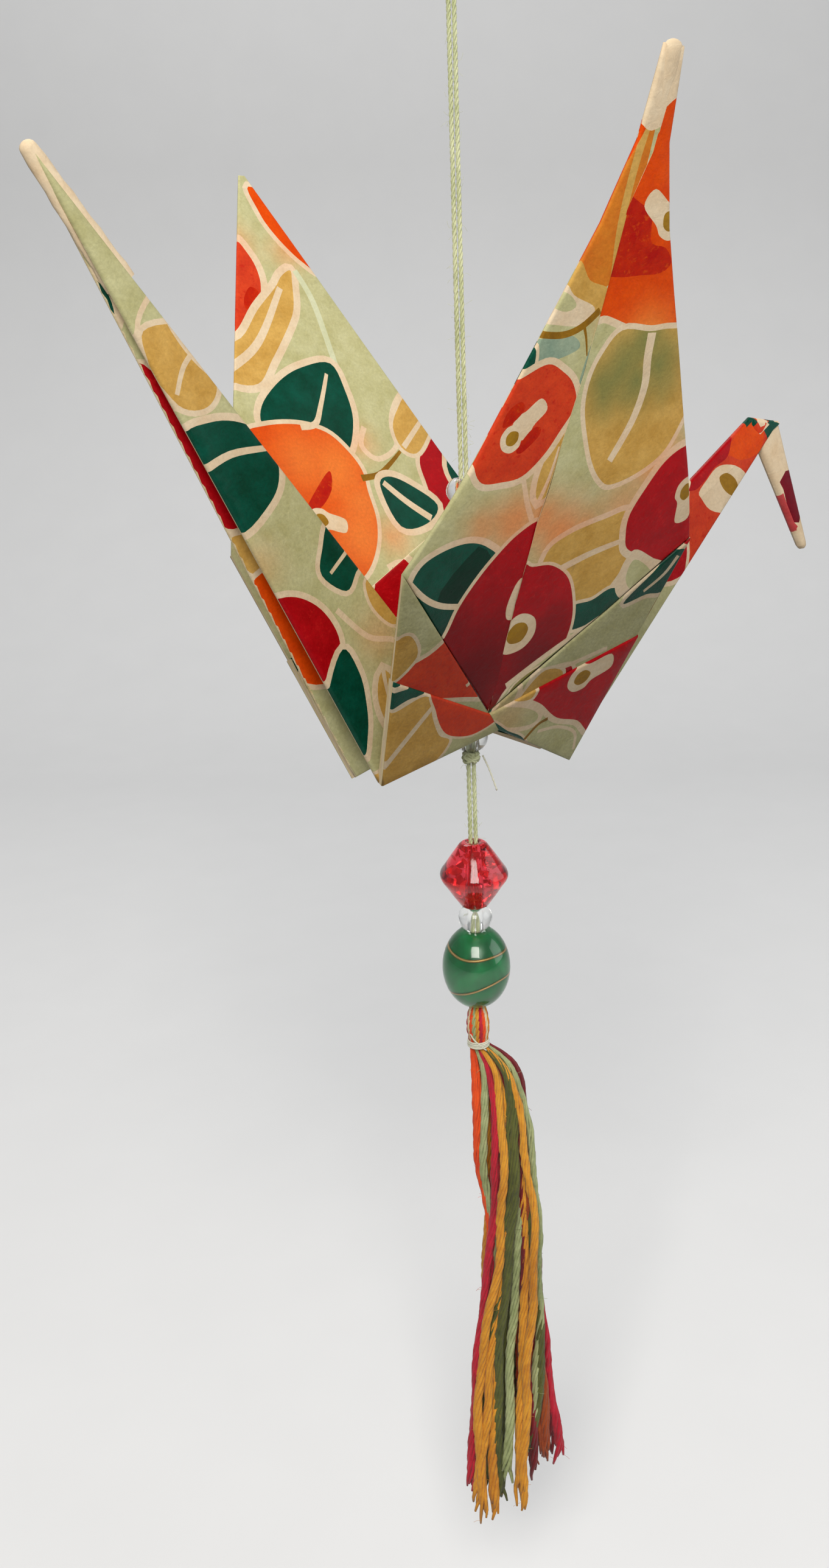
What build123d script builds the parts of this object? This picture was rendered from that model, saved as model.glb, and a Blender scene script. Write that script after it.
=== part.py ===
from build123d import *
from math import atan2, cos, pi, radians, sin, tan
import os

os.makedirs("parts", exist_ok=True)

# A paper crane folded from one square sheet, hung on a doubled thread with
# beads and a floss tassel. Millimetres. The origin is the top of the hanging
# loop, +X runs from the tail to the head and +Z is up.

# Folded sheet
paper_side = 150.0
layer = 0.25
wing_layers = 2
flap_layers = 2
wall_layers = 3
notch_height = 3.4

# How far the folds have been opened; the near half faces -Y
near_lean = 26.6
near_bend = -9.7
near_turn = 1.0
near_splay = 0.8
near_gap = 1.0
far_lean = 28.1
far_bend = -2.0
far_turn = -0.4
far_splay = -6.9
far_gap = 2.0
bend_length = 12.0
keel_depth = 4.15
hump_height = 23.7
near_tuck_shift = -2.3

# Reverse folds of the neck, the tail and the head
neck_crease = 29.1
tail_crease = 16.5
neck_lift = -1.4
tail_lift = 5.1
head_length = 21.8
head_crease = -8.0
head_droop = 9.4
head_set_back = 0.9
beak_cut = 0.5
beak_width = 1.2
tail_tip_cut = 2.4
tail_tip_width = 0.8
wall_stand_off = 0.45
fold_width = 0.78

# Tips of the wings, measured down from the end
near_tip_half = 1.3
near_tip_stretch = 2.0
near_stick_half = 2.1
near_stick_length = 8.5
near_waist_half = 4.6
near_waist_length = 16.3
far_tip_half = 0.45

# Doubled cord; its two strands lie side by side across the front view
cord_facing = -35.0
strand_d = 0.56
strand_pitch = 0.6
cord_above = 66.0
loop_height = 9.5
loop_half_width = 2.3
loop_shoulder = 0.55
bore_clearance = 0.08
seat_gap = 0.3
touch_gap = 0.04
run_share = 0.45

# Beads and knot
seed_d = 4.0
seed_h = 2.8
seed_rim = 0.45
stopper_drop = 1.5
red_d = 8.0
red_h = 7.8
red_end_d = 3.0
red_waist_round = 1.2
red_end_round = 0.6
green_d = 8.0
green_h = 9.0
green_end_d = 3.4
knot_d = 2.2
knot_h = 1.5
knot_rim = 0.1
knot_to_red = 9.5

# Loose sewing thread at the knot
thread_d = 0.24
thread_out = 2.9
thread_drop = 4.2
thread_knee_out = 2.1
thread_knee_drop = 1.76

# Tassel
head_loops = 3
head_h = 5.0
head_w = 2.1
head_belly_h = 2.1
head_crown_w = 1.4
head_floss_d = 0.8
tie_r = 1.14
tie_thread_d = 0.36
skirt_length = 54.0
skirt_twist = 24.0
floss_tie_d = 0.44
floss_d = 1.2
floss_spacing = 1.06
floss_rings = (1, 2)
floss_trim = 1.1

half = paper_side / 2
narrow = tan(radians(11.25))
kite = tan(radians(22.5))
sheet_t = wing_layers * layer
flap_t = flap_layers * layer
wall_t = wall_layers * layer


# Flat positions of the folds on one half of the crane, x across, y up
corner = half * kite
free_y = half * (kite - narrow) / (kite + narrow)
free_x = narrow * (free_y + half)
gusset_y = (corner - narrow * half) / (1 + narrow)
gusset_x = narrow * (gusset_y + half)
tuck_y = half / cos(radians(22.5)) - half


def keel_corner(crease_angle):
    """Where a reverse fold from the notch meets the narrowed outer edge."""
    slope = radians(crease_angle)
    reach = narrow * (notch_height + half) / (cos(slope) + narrow * sin(slope))
    return reach * cos(slope), notch_height - reach * sin(slope)


neck_x, neck_y = keel_corner(neck_crease)
tail_x, tail_y = keel_corner(tail_crease)


def half_plane(out, lean, turn, splay, gap):
    """Plane of one half: x along the keel, y up the paper, z towards -Y.

    out is 1 for the near half, which leans to -Y, and -1 for the far one.
    """
    tilt = Rot(0, 0, out * splay) * Rot(out * lean, 0, 0)
    turned = Pos(0, -out * gap, -keel_depth) * tilt * Rot(0, turn, 0)
    origin = turned * Pos(0, 0, keel_depth)
    return Plane(
        origin=origin.position,
        x_dir=(turned * Pos(1, 0, 0)).position - turned.position,
        z_dir=-((turned * Pos(0, 1, 0)).position - turned.position),
    )


def slab(plane, out, points, low, high):
    """Flat layer of paper between two heights above the half's mid surface."""
    base = Plane(
        origin=plane.from_local_coords((0, 0, out * low)),
        x_dir=plane.x_dir,
        z_dir=plane.z_dir,
    )
    outline = make_face(Polyline(*points, close=True))
    return extrude(base * outline, amount=out * (high - low))


def bent_wing(plane, out, bend, outline):
    """Sheet that is flat on the body and curves out or in above it."""
    straight = Line((-corner, 0), (free_y, 0))
    turn_radius = bend_length / radians(abs(bend))
    arc = JernArc(straight @ 1, straight % 1, turn_radius, bend)
    rest = Line(arc @ 1, (arc @ 1) + (arc % 1) * half)
    side = trace(straight + arc + rest, sheet_t)
    section = Plane(
        origin=plane.origin,
        x_dir=plane.y_dir,
        z_dir=plane.x_dir * out,
    )
    sheet = extrude(section * side, amount=half / 2, both=True)
    blank = make_face(Polyline(*outline, close=True))
    return sheet & extrude(plane * blank, amount=half / 2, both=True)


def wing_rise(bend, length):
    """Height up the half's plane of a point that far above the free corner."""
    angle = radians(abs(bend))
    arc_rise = bend_length / angle * sin(angle)
    return free_y + arc_rise + (length - bend_length) * cos(angle)


def plate(points, thick):
    """Flat plate of paper through points in space that share a plane."""
    face = make_face(Polyline(*points, close=True))
    return extrude(face, amount=thick / 2, both=True)


def fold_edge(start, end, thick):
    """Rounded fold along an edge where two plates meet."""
    path = Line(start, end)
    return sweep(Plane(origin=start, z_dir=path % 0) * Circle(thick / 2), path=path)


def one_half(plane, out, bend, tip_points, tuck_x):
    """Wing, tucked side flaps and narrowed leg layers of one half."""
    right = [(free_x, free_y), (neck_x, neck_y), (0, notch_height)]
    left = [(-tail_x, tail_y), (-free_x, free_y)]
    body = bent_wing(plane, out, bend, right + left + tip_points)
    top = sheet_t / 2
    for side, x, y in ((1, neck_x, neck_y), (-1, -tail_x, tail_y)):
        low_edge = [(0, notch_height), (x, y)]
        first = [(side * free_x, free_y), (tuck_x, tuck_y)] + low_edge
        second = [(side * gusset_x, gusset_y), (tuck_x, tuck_y)] + low_edge
        body += slab(plane, out, first, top - layer / 4, top + flap_t)
        body += slab(plane, out, second, top, top + flap_t + layer)
    return body


def wing_tip(bend, stretch, widths):
    """Outline points over the top of a wing, from the left to the right.

    widths are pairs of a half width and its distance below the end.
    """
    length = half - free_y + stretch
    points = []
    for half_width, below in widths:
        level = wing_rise(bend, length - below)
        points = [(-half_width, level)] + points + [(half_width, level)]
    return points


near_widths = (
    (near_tip_half, 0.0),
    (near_stick_half, near_stick_length),
    (near_waist_half, near_waist_length),
)
near_tip = wing_tip(near_bend, near_tip_stretch, near_widths)
far_tip = wing_tip(far_bend, 0.0, ((far_tip_half, 0.0),))
near_plane = half_plane(1, near_lean, near_turn, near_splay, near_gap)
far_plane = half_plane(-1, far_lean, far_turn, far_splay, far_gap)
near_half = one_half(near_plane, 1, near_bend, near_tip, near_tuck_shift)
far_half = one_half(far_plane, -1, far_bend, far_tip, 0.0)
halves = ((near_plane, 1), (far_plane, -1))

# Hump: a paper facet on each half, and a gusset on each side of it
apex = Vector(0, 0, notch_height + hump_height)
notch = Vector(0, 0, notch_height)
crane = near_half + far_half
for plane, out in halves:
    shoulders = {}
    for side, x, y in ((1, neck_x, neck_y), (-1, -tail_x, tail_y)):
        shoulder = plane.from_local_coords((side * gusset_x, gusset_y, 0))
        foot = plane.from_local_coords((x, y, 0))
        shoulders[side] = shoulder
        crane += plate([apex, shoulder, notch], layer)
        crane += plate([shoulder, foot, notch], layer)
    crane += plate([apex, shoulders[-1], shoulders[1]], layer)


def leg(side, crease_angle, lift, cut_length):
    """Spine of a neck or tail in the middle plane, and how it ends."""
    rise = radians(90 - 2 * crease_angle - lift)
    along = Vector(side * cos(rise), 0, sin(rise))
    return along, notch + along * (half + notch_height - cut_length)


neck_along, neck_end = leg(1, neck_crease, neck_lift, head_length)
tail_along, tail_end = leg(-1, tail_crease, tail_lift, tail_tip_cut)
tail_across = Vector(tail_along.Z, 0, -tail_along.X)

# Head: the end of the neck turned down through its walls
crease_dir = Vector(cos(radians(head_crease)), 0, sin(radians(head_crease)))
neck_angle = atan2(neck_along.Z, neck_along.X)
head_angle = 2 * radians(head_crease) - neck_angle - radians(head_droop)
head_along = Vector(cos(head_angle), 0, sin(head_angle))
head_across = Vector(-sin(head_angle), 0, cos(head_angle))
beak = neck_end + head_along * (head_length - beak_cut)
spread = radians(11.25)
share = sin(spread) / sin(pi - spread - (neck_angle - radians(head_crease)))
brow = neck_end + crease_dir * (head_length * share)

for plane, out in halves:
    stand_off = Vector(0, -out * wall_stand_off, 0)
    neck_foot = plane.from_local_coords((neck_x, neck_y, 0))
    tail_foot = plane.from_local_coords((-tail_x, tail_y, 0))
    jaw = brow + stand_off
    crane += plate([notch, neck_foot, jaw], wall_t)
    crane += plate([notch, jaw, neck_end], wall_t)
    fin = tail_end + stand_off
    fin_low = fin - tail_across * tail_tip_width
    crane += plate([notch, tail_foot, fin_low], wall_t)
    crane += plate([notch, fin_low, fin], wall_t)
crane += fold_edge(notch + neck_along, neck_end, fold_width)
crane += fold_edge(notch + tail_along, tail_end, fold_width)
head = [
    neck_end - neck_along * head_set_back,
    neck_end,
    brow,
    beak + head_across * (beak_width / 2),
    beak - head_across * (beak_width / 2),
]
crane += plate(head, 2 * wall_t)


# Beads, from the top of the hump down to the tassel
bore_r = strand_pitch / 2 + strand_d / 2 + bore_clearance


def turned(outline, height):
    """Bead turned about the cord from its outline, with the cord's bore."""
    room = Pos(bore_r + outline.bounding_box().max.X / 2, 0) * Rectangle(
        outline.bounding_box().max.X, height
    )
    return revolve(Plane.XZ * (outline & room), Axis.Z)


def rounded(width, height, end_width):
    """Outline of a bead that swells evenly between two flat ends."""
    full = height / 2 / (1 - (end_width / width) ** 2) ** 0.5
    side = []
    for share in (1, 0.9, 0.55, 0, -0.55, -0.9, -1):
        level = share * height / 2
        side.append((width / 2 * (1 - (level / full) ** 2) ** 0.5, level))
    swell = Spline(*side)
    ends = Polyline(side[-1], (0, -height / 2), (0, height / 2), side[0])
    return make_face(swell + ends)


seed = turned(rounded(seed_d, seed_h, 2 * (bore_r + seed_rim)), seed_h)
top_z = apex.Z + seat_gap + seed_h / 2
stopper_z = notch_height - stopper_drop - seed_h / 2
knot_z = stopper_z - seed_h / 2 - touch_gap - knot_h / 2
red_z = knot_z - knot_h / 2 - knot_to_red - red_h / 2
spacer_z = red_z - red_h / 2 - touch_gap - seed_h / 2
green_z = spacer_z - seed_h / 2 - touch_gap - green_h / 2
tie_z = green_z - green_h / 2 - touch_gap - head_h

# Hole for the cord through the top of the hump and out of the keel
cord_hole = Pos(0, 0, notch_height) * Cylinder(bore_r, half)
crane = crane - cord_hole

red_slope = atan2(red_h, red_d - red_end_d)
red_point = red_d / 2 + red_waist_round * (1 / sin(red_slope) - 1)
lozenge = Polyline(
    (0, red_h / 2),
    (red_end_d / 2, red_h / 2),
    (red_point, 0),
    (red_end_d / 2, -red_h / 2),
    (0, -red_h / 2),
    close=True,
)
red_outline = make_face(lozenge)
ends = red_outline.vertices().sort_by(Axis.X)[2:4]
red_outline = fillet(ends, red_end_round)
waist = red_outline.vertices().group_by(Axis.X)[-1]
red_outline = fillet(waist, red_waist_round)
red_bead = turned(red_outline, red_h)

green_outline = rounded(green_d, green_h, green_end_d)
green_bead = turned(green_outline, green_h)

knot_outline = rounded(knot_d, knot_h, 2 * (bore_r + knot_rim))
knot = turned(knot_outline, knot_h)


def tube(points, width):
    """Round tube of straight runs joined by the largest arcs that fit."""
    radii = []
    for before, here, after in zip(points, points[1:], points[2:]):
        run_in = Vector(*here) - Vector(*before)
        run_out = Vector(*after) - Vector(*here)
        bend = radians(run_in.get_angle(run_out))
        radii.append(run_share * min(run_in.length, run_out.length) / tan(bend / 2))
    path = FilletPolyline(*points, radius=radii)
    solid = sweep(Plane(origin=path @ 0, z_dir=path % 0) * Circle(width / 2), path=path)
    section = pi * width**2 / 4
    print("radii", [round(r, 2) for r in radii], "length", round(path.length, 2))
    print("volume by section", round(solid.volume / (section * path.length), 4))
    return solid


# The cord runs up from the tassel, round the hanging loop and down again
loop_z = apex.Z + cord_above
loop_run = loop_height * loop_shoulder
cord_end = tie_z + head_h + touch_gap / 2
side = strand_pitch / 2
route = [
    (side, 0, cord_end),
    (side, 0, loop_z),
    (loop_half_width, 0, loop_z + loop_run),
    (0, 0, loop_z + loop_height),
    (-loop_half_width, 0, loop_z + loop_run),
    (-side, 0, loop_z),
    (-side, 0, cord_end),
]
cord = tube(route, strand_d)
loop_top = cord.bounding_box().max.Z - strand_d

thread = tube(
    [
        (knot_d / 2 + thread_d / 2 + touch_gap, 0, knot_z),
        (thread_knee_out, 0, knot_z - thread_knee_drop),
        (thread_out, 0, knot_z - thread_drop),
    ],
    thread_d,
)

# Tassel head: floss looped over the end of the cord
rim = tie_r - head_floss_d / 2
tassel_head = None
for index in range(head_loops):
    floss = tube(
        [
            (-rim, 0, 0),
            (-head_w / 2, 0, head_belly_h),
            (-head_crown_w / 2, 0, head_h - head_floss_d / 2),
            (head_crown_w / 2, 0, head_h - head_floss_d / 2),
            (head_w / 2, 0, head_belly_h),
            (rim, 0, 0),
        ],
        head_floss_d,
    )
    floss = Rot(0, 0, 180 / head_loops * index) * floss
    tassel_head = floss if tassel_head is None else tassel_head + floss
tie = Torus(tie_r + tie_thread_d / 2 + touch_gap, tie_thread_d / 2)

# Skirt: distance below the tie, radius of the bundle and drift to the right
skirt_stations = (
    (0.0, 1.0, 0.0),
    (0.09, 2.75, 0.5),
    (0.28, 3.45, 1.3),
    (0.52, 3.4, 1.1),
    (0.76, 4.7, 0.2),
    (1.0, 6.2, -0.4),
)
floss_cells = [(0.0, 0.0)]
for ring_size in floss_rings:
    for step in range(6 * ring_size):
        turn = radians(step * 60 / ring_size)
        reach = ring_size if ring_size == 1 or step % 2 == 0 else 3**0.5
        floss_cells.append((reach * cos(turn), reach * sin(turn)))
floss_colours = (
    "dark_red",
    "gold", "olive", "orange", "crimson", "rust", "sage",
    "sage", "dark_red", "rust", "olive", "crimson", "gold",
    "orange", "sage", "crimson", "gold", "olive", "rust",
)


def floss_strand(cell, trim):
    """One floss strand: round sections that follow the bundle down."""
    rounds = []
    for share, radius, drift in skirt_stations:
        widest = floss_d if share else floss_tie_d
        spacing = max((radius - widest / 2) / 2, floss_tie_d * floss_spacing)
        width = min(widest, spacing / floss_spacing)
        twist = radians(skirt_twist * share)
        x = spacing * (cell[0] * cos(twist) - cell[1] * sin(twist)) + drift
        y = spacing * (cell[0] * sin(twist) + cell[1] * cos(twist))
        drop = share * (skirt_length - trim)
        rounds.append(Pos(x, y, -2 * touch_gap - drop) * Circle(width / 2))
    return loft(rounds, ruled=True)


strands = {}
for index, cell in enumerate(floss_cells):
    trim = floss_trim * (index * 5 % 4)
    strands.setdefault(floss_colours[index], []).append(floss_strand(cell, trim))

# Everything hangs below the top of the loop
hang = Pos(0, 0, -loop_top)
face = hang * Rot(0, 0, cord_facing)
export_step(hang * crane, "parts/paper_crane.step")
export_step(face * cord, "parts/hanging_cord.step")
seeds = [hang * Pos(0, 0, z) * seed for z in (top_z, stopper_z, spacer_z)]
export_step(seeds[0], "parts/top_bead.step")
export_step(seeds[1], "parts/stopper_bead.step")
export_step(seeds[2], "parts/spacer_bead.step")
export_step(hang * Pos(0, 0, knot_z) * knot, "parts/stopper_knot.step")
export_step(face * thread, "parts/thread_tail.step")
export_step(hang * Pos(0, 0, red_z) * red_bead, "parts/red_bead.step")
export_step(hang * Pos(0, 0, green_z) * green_bead, "parts/green_bead.step")
export_step(face * Pos(0, 0, tie_z) * tassel_head, "parts/tassel_head.step")
export_step(face * Pos(0, 0, tie_z) * tie, "parts/tassel_tie.step")
for colour, group in strands.items():
    bundle = Compound(children=[face * Pos(0, 0, tie_z) * one for one in group])
    export_step(bundle, f"parts/tassel_{colour}.step")
print("crane", crane.is_valid, len(crane.solids()), round(crane.volume, 1))
print("loop top", round(loop_top, 3), "apex", round(apex.Z - loop_top, 2))
levels = (top_z, stopper_z, knot_z, red_z, spacer_z, green_z, tie_z)
print("bead centres", [round(z - loop_top, 2) for z in levels])
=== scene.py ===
import bpy
import math
import random
import numpy as np
from math import atan2, cos, pi, radians, sin, tan
from mathutils import Matrix, Vector
from mathutils.geometry import delaunay_2d_cdt


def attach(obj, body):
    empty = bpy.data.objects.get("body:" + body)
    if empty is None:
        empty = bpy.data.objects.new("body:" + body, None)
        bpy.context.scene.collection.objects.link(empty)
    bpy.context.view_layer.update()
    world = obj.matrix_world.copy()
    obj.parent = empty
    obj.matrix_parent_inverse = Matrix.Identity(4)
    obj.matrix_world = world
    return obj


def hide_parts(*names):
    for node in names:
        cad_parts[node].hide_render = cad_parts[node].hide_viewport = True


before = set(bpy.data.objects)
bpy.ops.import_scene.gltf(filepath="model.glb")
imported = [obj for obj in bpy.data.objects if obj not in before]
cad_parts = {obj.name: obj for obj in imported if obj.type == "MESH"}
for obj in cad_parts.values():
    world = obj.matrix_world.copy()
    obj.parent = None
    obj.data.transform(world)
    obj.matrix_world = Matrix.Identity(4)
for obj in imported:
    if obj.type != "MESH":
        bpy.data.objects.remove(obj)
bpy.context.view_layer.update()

scene = bpy.context.scene
rng = random.Random(7)

# Millimetres until the last step: z is 0 at the folded sheet's middle, and
# hung() puts the origin at the top of the loop.
LOOP_TOP = 101.015

# The photograph's frame, focal length and centre of view, in its own pixels
FRAME_WIDTH, FRAME_HEIGHT = 1362, 2576
FOCAL_PX = 2331
CENTRE_X, CENTRE_Y = 765.6, 934.6
# The camera's turn, tilt and roll in degrees, the height it aims at and how far off it stands
YAW, PITCH, ROLL = 37.796, 9.16, -1.502
AIM_Z, REACH = 20, 158.9
SENSOR = 36


def hung(p):
    """Point in metres, with the top of the loop as the origin."""
    return (p[0] / 1000, p[1] / 1000, (p[2] - LOOP_TOP) / 1000)


def make_camera():
    yaw, pitch, roll = radians(YAW), radians(PITCH), radians(ROLL)
    forward = Vector((sin(yaw) * cos(pitch), cos(yaw) * cos(pitch), -sin(pitch)))
    right = Vector((cos(yaw), -sin(yaw), 0))
    up = right.cross(forward)
    right, up = cos(roll) * right + sin(roll) * up, cos(roll) * up - sin(roll) * right
    stand = hung(Vector((0, 0, AIM_Z)) - forward * REACH)
    data = bpy.data.cameras.new("camera")
    data.sensor_fit = "VERTICAL"
    data.sensor_height = SENSOR
    data.lens = FOCAL_PX / FRAME_HEIGHT * SENSOR
    data.shift_x = (FRAME_WIDTH / 2 - CENTRE_X) / FRAME_HEIGHT
    data.shift_y = (CENTRE_Y - FRAME_HEIGHT / 2) / FRAME_HEIGHT
    data.clip_start = 0.005
    camera = bpy.data.objects.new("camera", data)
    scene.collection.objects.link(camera)
    rows = [(right[i], up[i], -forward[i], stand[i]) for i in range(3)]
    camera.matrix_world = Matrix(rows + [(0, 0, 0, 1)])
    scene.camera = camera


def new_object(name, verts, faces, materials, numbers=None, smooth=True):
    """Object from points in metres and faces, with a material number for each face."""
    mesh = bpy.data.meshes.new(name)
    mesh.from_pydata(verts, [], faces)
    for material in materials:
        mesh.materials.append(material)
    if numbers is not None:
        mesh.polygons.foreach_set("material_index", numbers)
    mesh.polygons.foreach_set("use_smooth", [smooth] * len(mesh.polygons))
    mesh.update()
    made = bpy.data.objects.new(name, mesh)
    scene.collection.objects.link(made)
    return made


make_camera()


# Materials

def srgb(*rgb):
    return tuple((c / 255 / 12.92 if c <= 10 else ((c / 255 + 0.055) / 1.055) ** 2.4) for c in rgb) + (1,)


class Look:
    """A material while its nodes are being added. An input is a value or a socket."""

    def __init__(self, name):
        self.material = bpy.data.materials.new(name)
        self.material.use_nodes = True
        self.tree = self.material.node_tree
        self.shader = self.tree.nodes["Principled BSDF"]

    def fill(self, inputs, values):
        for key, value in values.items():
            if isinstance(value, bpy.types.NodeSocket):
                self.tree.links.new(value, inputs[key])
            else:
                inputs[key].default_value = value

    def set(self, values):
        self.fill(self.shader.inputs, values)

    def node(self, kind, inputs, out=0, **settings):
        made = self.tree.nodes.new(kind)
        for key, value in settings.items():
            setattr(made, key, value)
        self.fill(made.inputs, inputs)
        return made.outputs[out]

    def place(self):
        return self.node("ShaderNodeNewGeometry", {})

    def attribute(self, name):
        return self.node("ShaderNodeAttribute", {}, 2, attribute_name=name)

    def noise(self, where, scale, detail, roughness=0.5, distortion=0.0):
        inputs = {"Vector": where, "Scale": scale, "Detail": detail, "Roughness": roughness}
        return self.node("ShaderNodeTexNoise", inputs | {"Distortion": distortion})

    def ramp(self, value, first, second, at=(0.0, 1.0)):
        made = self.tree.nodes.new("ShaderNodeValToRGB")
        ends = made.color_ramp.elements
        ends[0].position, ends[1].position = at
        ends[0].color, ends[1].color = first, second
        self.tree.links.new(value, made.inputs[0])
        return made.outputs[0]

    def mapped(self, value, low, high, to_low, to_high):
        inputs = {"Value": value, "From Min": low, "From Max": high, "To Min": to_low, "To Max": to_high}
        return self.node("ShaderNodeMapRange", inputs)

    def mix(self, share, first, second, blend="MIX"):
        inputs = {0: share, 6: first, 7: second}
        return self.node("ShaderNodeMix", inputs, 2, data_type="RGBA", blend_type=blend)

    def math(self, operation, first, second):
        return self.node("ShaderNodeMath", {0: first, 1: second}, operation=operation)

    def bump(self, height, strength, distance):
        inputs = {"Strength": strength, "Distance": distance, "Height": height}
        self.set({"Normal": self.node("ShaderNodeBump", inputs)})


def ink(name, colour, second, grain=0.35, rough=0.46, coat=0.06, fleck=None, wash=None, lift=0.0):
    """Printed ink on lacquered paper: mottled colour, fibre grain, fine wrinkles and painted shade."""
    look = Look(name)
    uv = look.node("ShaderNodeUVMap", {}, uv_map="sheet")
    cloud = look.noise(uv, scale=0.35, detail=5.0, roughness=0.62)
    tint = look.ramp(cloud, colour, second, at=(0.36, 0.66))
    if fleck:
        flecks = look.noise(uv, scale=1.1, detail=6.0, roughness=0.7)
        tint = look.mix(look.mapped(flecks, 0.56, 0.64, 0.0, 0.75), tint, fleck)
    # The wash mixes in a second colour by a mark: the glow mark is a wash of the print, the other mark is
    # painted shade.
    if wash:
        mark, wash_colour = wash
        tint = look.mix(look.attribute(mark), tint, wash_colour)
    fibre = look.noise(uv, scale=2.6, detail=8.0, roughness=0.75)
    shade = look.mapped(fibre, 0.3, 0.7, 1 - grain * 0.5, 1 + grain * 0.25)
    # Painted shade: a share of darkening marked on the sheet is taken off the colour.
    shade = look.math("SUBTRACT", shade, look.attribute("painted_darkening"))
    wrinkle = look.noise(uv, scale=0.9, detail=7.0, roughness=0.66, distortion=0.6)
    look.bump(wrinkle, strength=0.55, distance=0.00014 + lift)
    look.set({
        "Base Color": look.mix(1.0, tint, shade, "MULTIPLY"),
        "Roughness": look.mapped(fibre, 0.35, 0.7, rough - 0.1, rough + 0.16),
        "Coat Weight": 0.45 * coat,
        "Coat Roughness": 0.2,
        "Specular IOR Level": 0.06,
    })
    return look.material


GLOWING = ("glow", srgb(234, 150, 92))
# Painted shade: the ochre, green and red darken where the sheet lies in shade or over more layers; on the
# orange the same mark paints a paler patch.
PAINTED_SHADE_OCHRE, PAINTED_SHADE_GREEN = ("painted_shade_wash", srgb(134, 134, 76)), ("painted_shade_wash", srgb(4, 36, 22))
PAINTED_SHADE_RED, PALE_ORANGE = ("painted_shade_wash", srgb(100, 2, 8)), ("painted_shade_wash", srgb(240, 140, 60))
INKS = {
    "ground": ink("print_sage", srgb(200, 197, 150), srgb(184, 180, 128), wash=GLOWING),
    "cream": ink("print_cream", srgb(232, 212, 180), srgb(222, 196, 160), grain=0.25,
                 wash=("glow", srgb(236, 176, 134))),
    "pale": ink("print_pale", srgb(214, 216, 182), srgb(203, 205, 165), grain=0.2),
    "ochre": ink("print_ochre", srgb(216, 172, 92), srgb(198, 152, 72), wash=PAINTED_SHADE_OCHRE),
    "amber": ink("print_amber", srgb(214, 128, 40), srgb(205, 108, 32)),
    "teal": ink("print_teal", srgb(160, 176, 150), srgb(138, 160, 138)),
    "green": ink("print_green", srgb(0, 62, 44), srgb(2, 80, 62), rough=0.36, coat=0.2,
                 fleck=srgb(6, 74, 58), wash=PAINTED_SHADE_GREEN, lift=0.00014),
    "red": ink("print_red", srgb(184, 8, 20), srgb(164, 3, 14), rough=0.38, coat=0.12,
               fleck=srgb(198, 26, 28), wash=PAINTED_SHADE_RED),
    "coral": ink("print_coral", srgb(218, 70, 34), srgb(202, 56, 30), rough=0.4, coat=0.08,
                 fleck=srgb(194, 34, 20)),
    "orange": ink("print_orange", srgb(230, 80, 6), srgb(218, 66, 2), rough=0.4, coat=0.08,
                  wash=PALE_ORANGE),
    "deep_green": ink("print_deep_green", srgb(6, 42, 28), srgb(2, 50, 34), rough=0.36),
    "wine": ink("print_wine", srgb(126, 10, 30), srgb(104, 8, 26), rough=0.4),
    "rose": ink("print_rose", srgb(206, 84, 84), srgb(190, 66, 68), rough=0.4),
    "core": ink("print_core", srgb(178, 16, 6), srgb(200, 44, 6), rough=0.38, coat=0.1,
                fleck=srgb(212, 74, 10)),
    "stamen": ink("print_stamen", srgb(168, 126, 34), srgb(146, 104, 24), rough=0.4),
    "brown": ink("print_brown", srgb(158, 114, 28), srgb(130, 90, 22), rough=0.4),
    "edge": ink("paper_edge", srgb(244, 228, 190), srgb(226, 200, 146), grain=0.5, rough=0.6, coat=0.0),
    "back": ink("paper_back", srgb(238, 232, 218), srgb(228, 221, 204), grain=0.3, rough=0.7, coat=0.0),
}
INK_NAMES = list(INKS)

# The printed pattern, in millimetres on the unfolded square. The square's
# middle is (0, 0), its near wing corner (0, 106) and its head corner (106, 0).
PRINT = []


def between(a, b, c, d, steps):
    """Points of a smooth curve from b towards c, with a before it and d after it."""
    square, cube = 2 * a - 5 * b + 4 * c - d, 3 * b - a - 3 * c + d
    shares = [k / steps for k in range(steps)]
    return [0.5 * (2 * b + (c - a) * t + square * t * t + cube * t**3) for t in shares]


def through(points, steps=5):
    """Closed curve through given points."""
    p = [np.array(q, float) for q in points]
    out = []
    for i in range(len(p)):
        out.extend(between(p[i - 1], p[i], p[(i + 1) % len(p)], p[(i + 2) % len(p)], steps))
    return np.array(out)


def grown(outline, by):
    """Outline moved outwards all round."""
    ahead, behind = np.roll(outline, -1, 0), np.roll(outline, 1, 0)
    along = ahead - behind
    along /= np.maximum(np.linalg.norm(along, axis=1, keepdims=True), 1e-6)
    area = np.sum(outline[:, 0] * ahead[:, 1] - ahead[:, 0] * outline[:, 1])
    outwards = np.column_stack([along[:, 1], -along[:, 0]]) * (1 if area > 0 else -1)
    return outline + outwards * by


def shape(colour, outline):
    outline = np.array(outline, float)
    PRINT.append((INK_NAMES.index(colour), outline, outline.min(0), outline.max(0)))


def blob(colour, points, halo=0.75, steps=5):
    """Soft closed shape, with a cream rim as wide as the halo."""
    outline = through(points, steps)
    if halo:
        shape("cream", grown(outline, halo))
    shape(colour, outline)


def stroke(colour, points, width, taper=0.35):
    """Brush line that narrows to its end."""
    p = np.array(points, float)
    line = []
    for i in range(len(p) - 1):
        line.extend(between(p[max(i - 1, 0)], p[i], p[i + 1], p[min(i + 2, len(p) - 1)], 5))
    line = np.array(line + [p[-1]])
    along = np.gradient(line, axis=0)
    along /= np.linalg.norm(along, axis=1, keepdims=True)
    across = np.column_stack([-along[:, 1], along[:, 0]])
    half = width / 2 * np.linspace(1, taper, len(line))[:, None]
    shape(colour, np.concatenate([line + across * half, (line - across * half)[::-1]]))


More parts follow.
